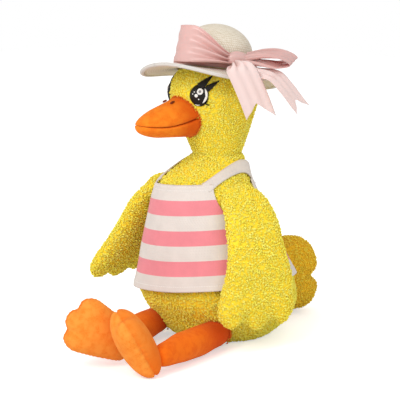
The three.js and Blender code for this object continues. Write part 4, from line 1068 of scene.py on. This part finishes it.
for name, middle, seam in (("front", 0, SEAM_TURN), ("back", 180, 180 - SEAM_TURN)):
    for place, in_from_edge in (("hem", 5), ("edge", 5), ("edge", 1.8)):
        share = in_from_edge / 100 if place == "hem" else 1 - in_from_edge / 100  # the panel is 100 mm long
        turn = across_panel(middle, seam, share, 1, 120)
        line = dressed(turn, share) + 0.45 * (on_body(turn, 100, 1) - on_body(turn, 100, 0))
        row = stitched(f"top_{name}_{place}_stitches_{round(in_from_edge)}", line)
        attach(row, "body")

# The hat: beige linen cut as a crown and a soft brim, gathered where they join, with rows of
# stitching round the brim and a folded white tape bound over its edge.


def weave(name, light, dark, pitch):
    """Plain-woven linen: crossing threads of uneven thickness and colour, matt and dry."""
    material, tree = new_material(name)
    warp, weft = (waves(tree, pitch, 1.5, way, 2.0) for way in "XY")
    slubs = noise(tree, 260, 3, thread_map(tree))
    tone = maths(tree, "ADD", maths(tree, "MULTIPLY", warp, weft), slubs)
    share = add(tree, "ShaderNodeMapRange", {0: tone, 1: 0.4, 2: 1.1, 3: 0.0, 4: 1.0})
    colour, relief = mix(tree, share, srgb(dark), srgb(light)), bump(tree, tone, 0.5, 0.0004)
    return finished(material, coat(tree, colour, 0.9, 0.2, relief, {"Sheen Weight": 0.1}))


hat_linen = weave("beige_linen", "#ebe3d4", "#d0c2a9", 0.0012)
CROWN, DOME, CROWN_TOP = 40, 37, 74  # the radii of its foot and its dome, and its height
BRIM, BRIM_UP, HAT_CLOTH, RIM = 73, 25.5, 2, 1.7  # its radius, height and cloth, and the tape's roll
CROWN_LOW = BRIM_UP + HAT_CLOTH + 0.3


def on_hat(angle, radius, height):
    """A place on the hat, in its own frame, at an angle in degrees from the front of the head."""
    return round_about(0, radius, np.asarray(angle, float) - HAT_TURN, height)


def brim_under(angle, radius):
    """The height of the brim's underside."""
    share = np.maximum((radius - CROWN) / (BRIM - CROWN), 0)
    return BRIM_UP + share * (4 * np.cos(np.radians(3 * (np.asarray(angle, float) - 12))) - 5)


turn = np.linspace(0, 360, 145)
profile = [(CROWN - 1, CROWN_LOW), (CROWN - 1, CROWN_LOW + 3)]
profile += [((DOME - 1) * math.cos(t), CROWN_TURN + (CROWN_TOP - 1 - CROWN_TURN) * math.sin(t))
            for t in np.linspace(0, 1, 9)[:-1] * math.pi / 2] + [(0.6, CROWN_TOP - 1)]
rows = []
for radius, height in evenly(spline(profile, 300), 48):
    # small gathers stand in the foot of the crown and die out on the dome
    pucker = 0.5 * (1 - float(ramp(height, CROWN_LOW, CROWN_LOW + 20)))
    rows.append(framed(HAT, on_hat(turn, radius + pucker * np.sin(np.radians(turn * 36)), height)))
crown = cloth("hat_crown_linen", rows, 1.2, hat_linen)
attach(crown, "hat")
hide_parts("hat_crown")

rows = []
for radius in np.linspace(CROWN - 3, BRIM - 2.6, 26):
    rows.append(framed(HAT, on_hat(turn, radius, brim_under(turn, radius) + HAT_CLOTH / 2)))
brim = cloth("hat_brim_linen", rows, 1.6, hat_linen)
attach(brim, "hat")
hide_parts("hat_brim")

for k, radius in enumerate((48, 54, 60, 66, 68.5)):
    line = framed(HAT, on_hat(turn, radius, brim_under(turn, radius) + HAT_CLOTH / 2 + 0.85))
    row = stitched(f"brim_stitches_{k}", line, pitch=2.2, thick=0.25)
    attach(row, "hat")

white_tape = weave("white_bias_tape", "#e2dcd6", "#d6cfc7", 0.0009)
rows = []
for around in np.linspace(0, 360, 13):
    radius = BRIM - RIM * 1.4 + RIM * 1.4 * math.cos(math.radians(around))
    lift = RIM * math.sin(math.radians(around))
    rows.append(framed(HAT, on_hat(turn, radius, brim_under(turn, BRIM - RIM) + HAT_CLOTH / 2 + lift)))
rim = cloth("brim_tape", rows, 0.3, white_tape)
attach(rim, "hat")
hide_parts("brim_piping")

# The bow: pink satin ribbon, 38 mm wide, laid round the crown and tied over the duck's left ear, with
# one long loop forward, a short one back, and two tails cut to swallow's ends.
RIBBON = 38
KNOT_TURN, KNOT_UP, KNOT_THICK, BAND_THICK = 80, 37, 12, 1


def satin(name, code, dark, through):
    """Polyester satin: long floats of thread that throw a soft, wide highlight across the ribbon."""
    material, tree = new_material(name)
    colour = mix(tree, noise(tree, 35, 2, thread_map(tree)), srgb(code), srgb(dark))
    relief = bump(tree, waves(tree, 0.0007, 0.8, "Y"), 0.08, 0.0002)
    silk = coat(tree, colour, 0.3, 0.7, relief, {"Anisotropic": 0.6})
    # light that passes through the thin ribbon comes out pinker
    passed = add(tree, "ShaderNodeBsdfTranslucent", {"Color": srgb(through)})
    return finished(material, add(tree, "ShaderNodeMixShader", {0: 0.25, 1: silk, 2: passed}))


pink_satin = satin("pink_satin_ribbon", "#eccac3", "#e8bcb4", "#f4948e")
# painted light: the tails get a paler, nearly white copy of the same pink satin, for the light that shines
# through and off them
painted_light_satin = satin("painted_light_satin_ribbon", "#fff0ec", "#fde8e2", "#ffd8d0")
BAND_LOW = CROWN_LOW + 0.6
rows = [framed(HAT, on_hat(turn, CROWN + 0.8, height)) for height in np.linspace(BAND_LOW, BAND_LOW + 9, 6)]
band = cloth("hat_band_satin", rows, 0.5, pink_satin)
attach(band, "hat")
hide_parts("hat_band")


def by_knot(back, out, up):
    """A place by the knot, in ribbon widths back along the brim, out from the crown and up."""
    middle = CROWN + BAND_THICK + 0.6 + KNOT_THICK / 2
    knot = on_hat(KNOT_TURN, middle + out * RIBBON, KNOT_UP + up * RIBBON)
    turn = math.radians(KNOT_TURN - HAT_TURN)
    return knot + back * RIBBON * np.array([math.cos(turn), math.sin(turn), 0])


DRAWN_IN = 11  # a ribbon's width in the knot


def opening(spots, looped):
    """An even line through places, and the ribbon's width on it as it opens out of the knot."""
    line = evenly(spline(spots, 400), 70)
    share = np.linspace(0, 1, 70)
    free = ramp(1 - np.abs(2 * share - 1), 0, 0.75) if looped else ramp(share, 0, 0.4)
    return line, DRAWN_IN + (RIBBON - DRAWN_IN) * free


def ribbon(name, line, width, across, notch=0.0, pleats=3, wide=33):
    """A length of ribbon along a line: its full width is drawn into pleats where it is narrow."""
    across = np.broadcast_to(np.asarray(across, float), line.shape)
    across = across / np.linalg.norm(across, axis=1, keepdims=True)
    face = np.cross(direction(line), across)
    face /= np.linalg.norm(face, axis=1, keepdims=True)
    share = np.linspace(-0.5, 0.5, wide)
    tight = np.maximum(RIBBON / width, 1.0)
    depth = 0.35 + width / pleats / (2 * math.pi) * np.sqrt(2 * (tight ** 2 - 1))
    # the pleats are uneven: some run on further than others
    wave = np.sin(2 * math.pi * pleats * share) + 0.3 * np.sin(2 * math.pi * share + 1)
    rows = (line[:, None] + across[:, None] * (share[None, :, None] * width[:, None, None])
            + face[:, None] * (depth[:, None] * wave[None])[..., None])
    if notch:
        # the cut end follows a V: rows near the end stop short in the middle
        cut = notch * (1 - np.abs(share) * 2)
        reach = np.concatenate([[0], np.cumsum(np.linalg.norm(np.diff(line, axis=0), axis=1))])
        total = reach[-1]
        for j in range(wide):
            wanted = reach * (total - cut[j]) / total
            rows[:, j] = np.stack([np.interp(wanted, reach, rows[:, j, k]) for k in range(3)], 1)
    rows = framed(HAT, rows.reshape(-1, 3)).reshape(rows.shape)
    # the notched tails take the paler copy of the satin: painted light
    piece = cloth(name, rows, 0.4, painted_light_satin if notch else pink_satin)
    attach(piece, "hat")
    return piece


# the front loop leans in to the crown, with its lower edge just above the brim
outer = [(9, 0.18), (24, 0.34), (43, 0.42), (61, 0.42), (74, 0.28)]
inner = [(66, 0.13), (50, 0.12), (30, 0.12), (10, 0.08)]
line, width = opening([on_hat(KNOT_TURN - back, CROWN + BAND_THICK + out * RIBBON, KNOT_UP)
                       for back, out in outer + inner], True)
LOOP_LEAN = math.radians(16)
up_and_in = on_hat(KNOT_TURN - 45, -math.sin(LOOP_LEAN), math.cos(LOOP_LEAN))
start, rise = KNOT_UP - DRAWN_IN / 2, BRIM_UP + HAT_CLOTH + RIM - KNOT_UP + DRAWN_IN / 2
low_edge = start + rise * (width - DRAWN_IN) / (RIBBON - DRAWN_IN)
line[:, 2] = low_edge + width / 2 * up_and_in[2]
piece = ribbon("bow_loop_front_satin", line, width, up_and_in)
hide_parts("bow_loop_front")


def by_knot_way(back, out, up):
    """A direction by the knot, in the same measures."""
    return by_knot(back, out, up) - by_knot(0, 0, 0)


loop = [(0.2, 0.05, 0.08), (0.7, 0.11, 0.23), (1.2, 0.13, 0.27), (1.55, 0.11, 0.14),
        (1.2, 0.11, 0.03), (0.7, 0.08, 0), (0.2, 0.03, -0.02)]
piece = ribbon("bow_loop_back_satin", *opening([by_knot(*p) for p in loop], True),
               by_knot_way(-0.6, 0.72, -0.3))
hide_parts("bow_loop_back")
over_brim = [(-0.14, 0.1, -0.13), (-0.26, 0.6, -0.17), (-0.26, 0.82, -0.36),
             (-0.06, 0.87, -0.7), (0.16, 0.87, -1.06), (0.37, 0.85, -1.42)]
piece = ribbon("bow_tail_front_satin", *opening([by_knot(*p) for p in over_brim], False),
               by_knot_way(0.94, -0.25, 0.21), 15)
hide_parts("bow_tail_front")
across_brim = [(0.16, 0.04, -0.17), (0.4, 0.24, -0.26), (0.75, 0.58, -0.31),
               (1.1, 0.68, -0.6), (1.5, 0.6, -0.92), (1.72, 0.55, -1.08)]
piece = ribbon("bow_tail_back_satin", *opening([by_knot(*p) for p in across_brim], False),
               by_knot_way(0.7, -0.65, 0.3), 15)
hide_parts("bow_tail_back")

stand = Matrix.Translation(Vector(by_knot(0, 0, 0))) @ turned(KNOT_TURN - HAT_TURN - 90, "Z")
rings, turn = [], circle(40)
for share in np.linspace(-0.97, 0.97, 25):
    swell = (1 - share ** 2) ** 0.38
    fold = 1 + 0.09 * np.sin(5 * turn + 2.2 * share) * swell
    thick, high = KNOT_THICK / 2 * swell * fold, 7.5 * swell * fold
    own = np.column_stack([thick * np.cos(turn), np.full(40, 11.5 * share), high * np.sin(turn)])
    rings.append(framed(HAT @ stand, own))
knot = made("bow_knot_satin", *lofted(rings), pink_satin)
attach(knot, "hat")
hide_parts("bow_knot")
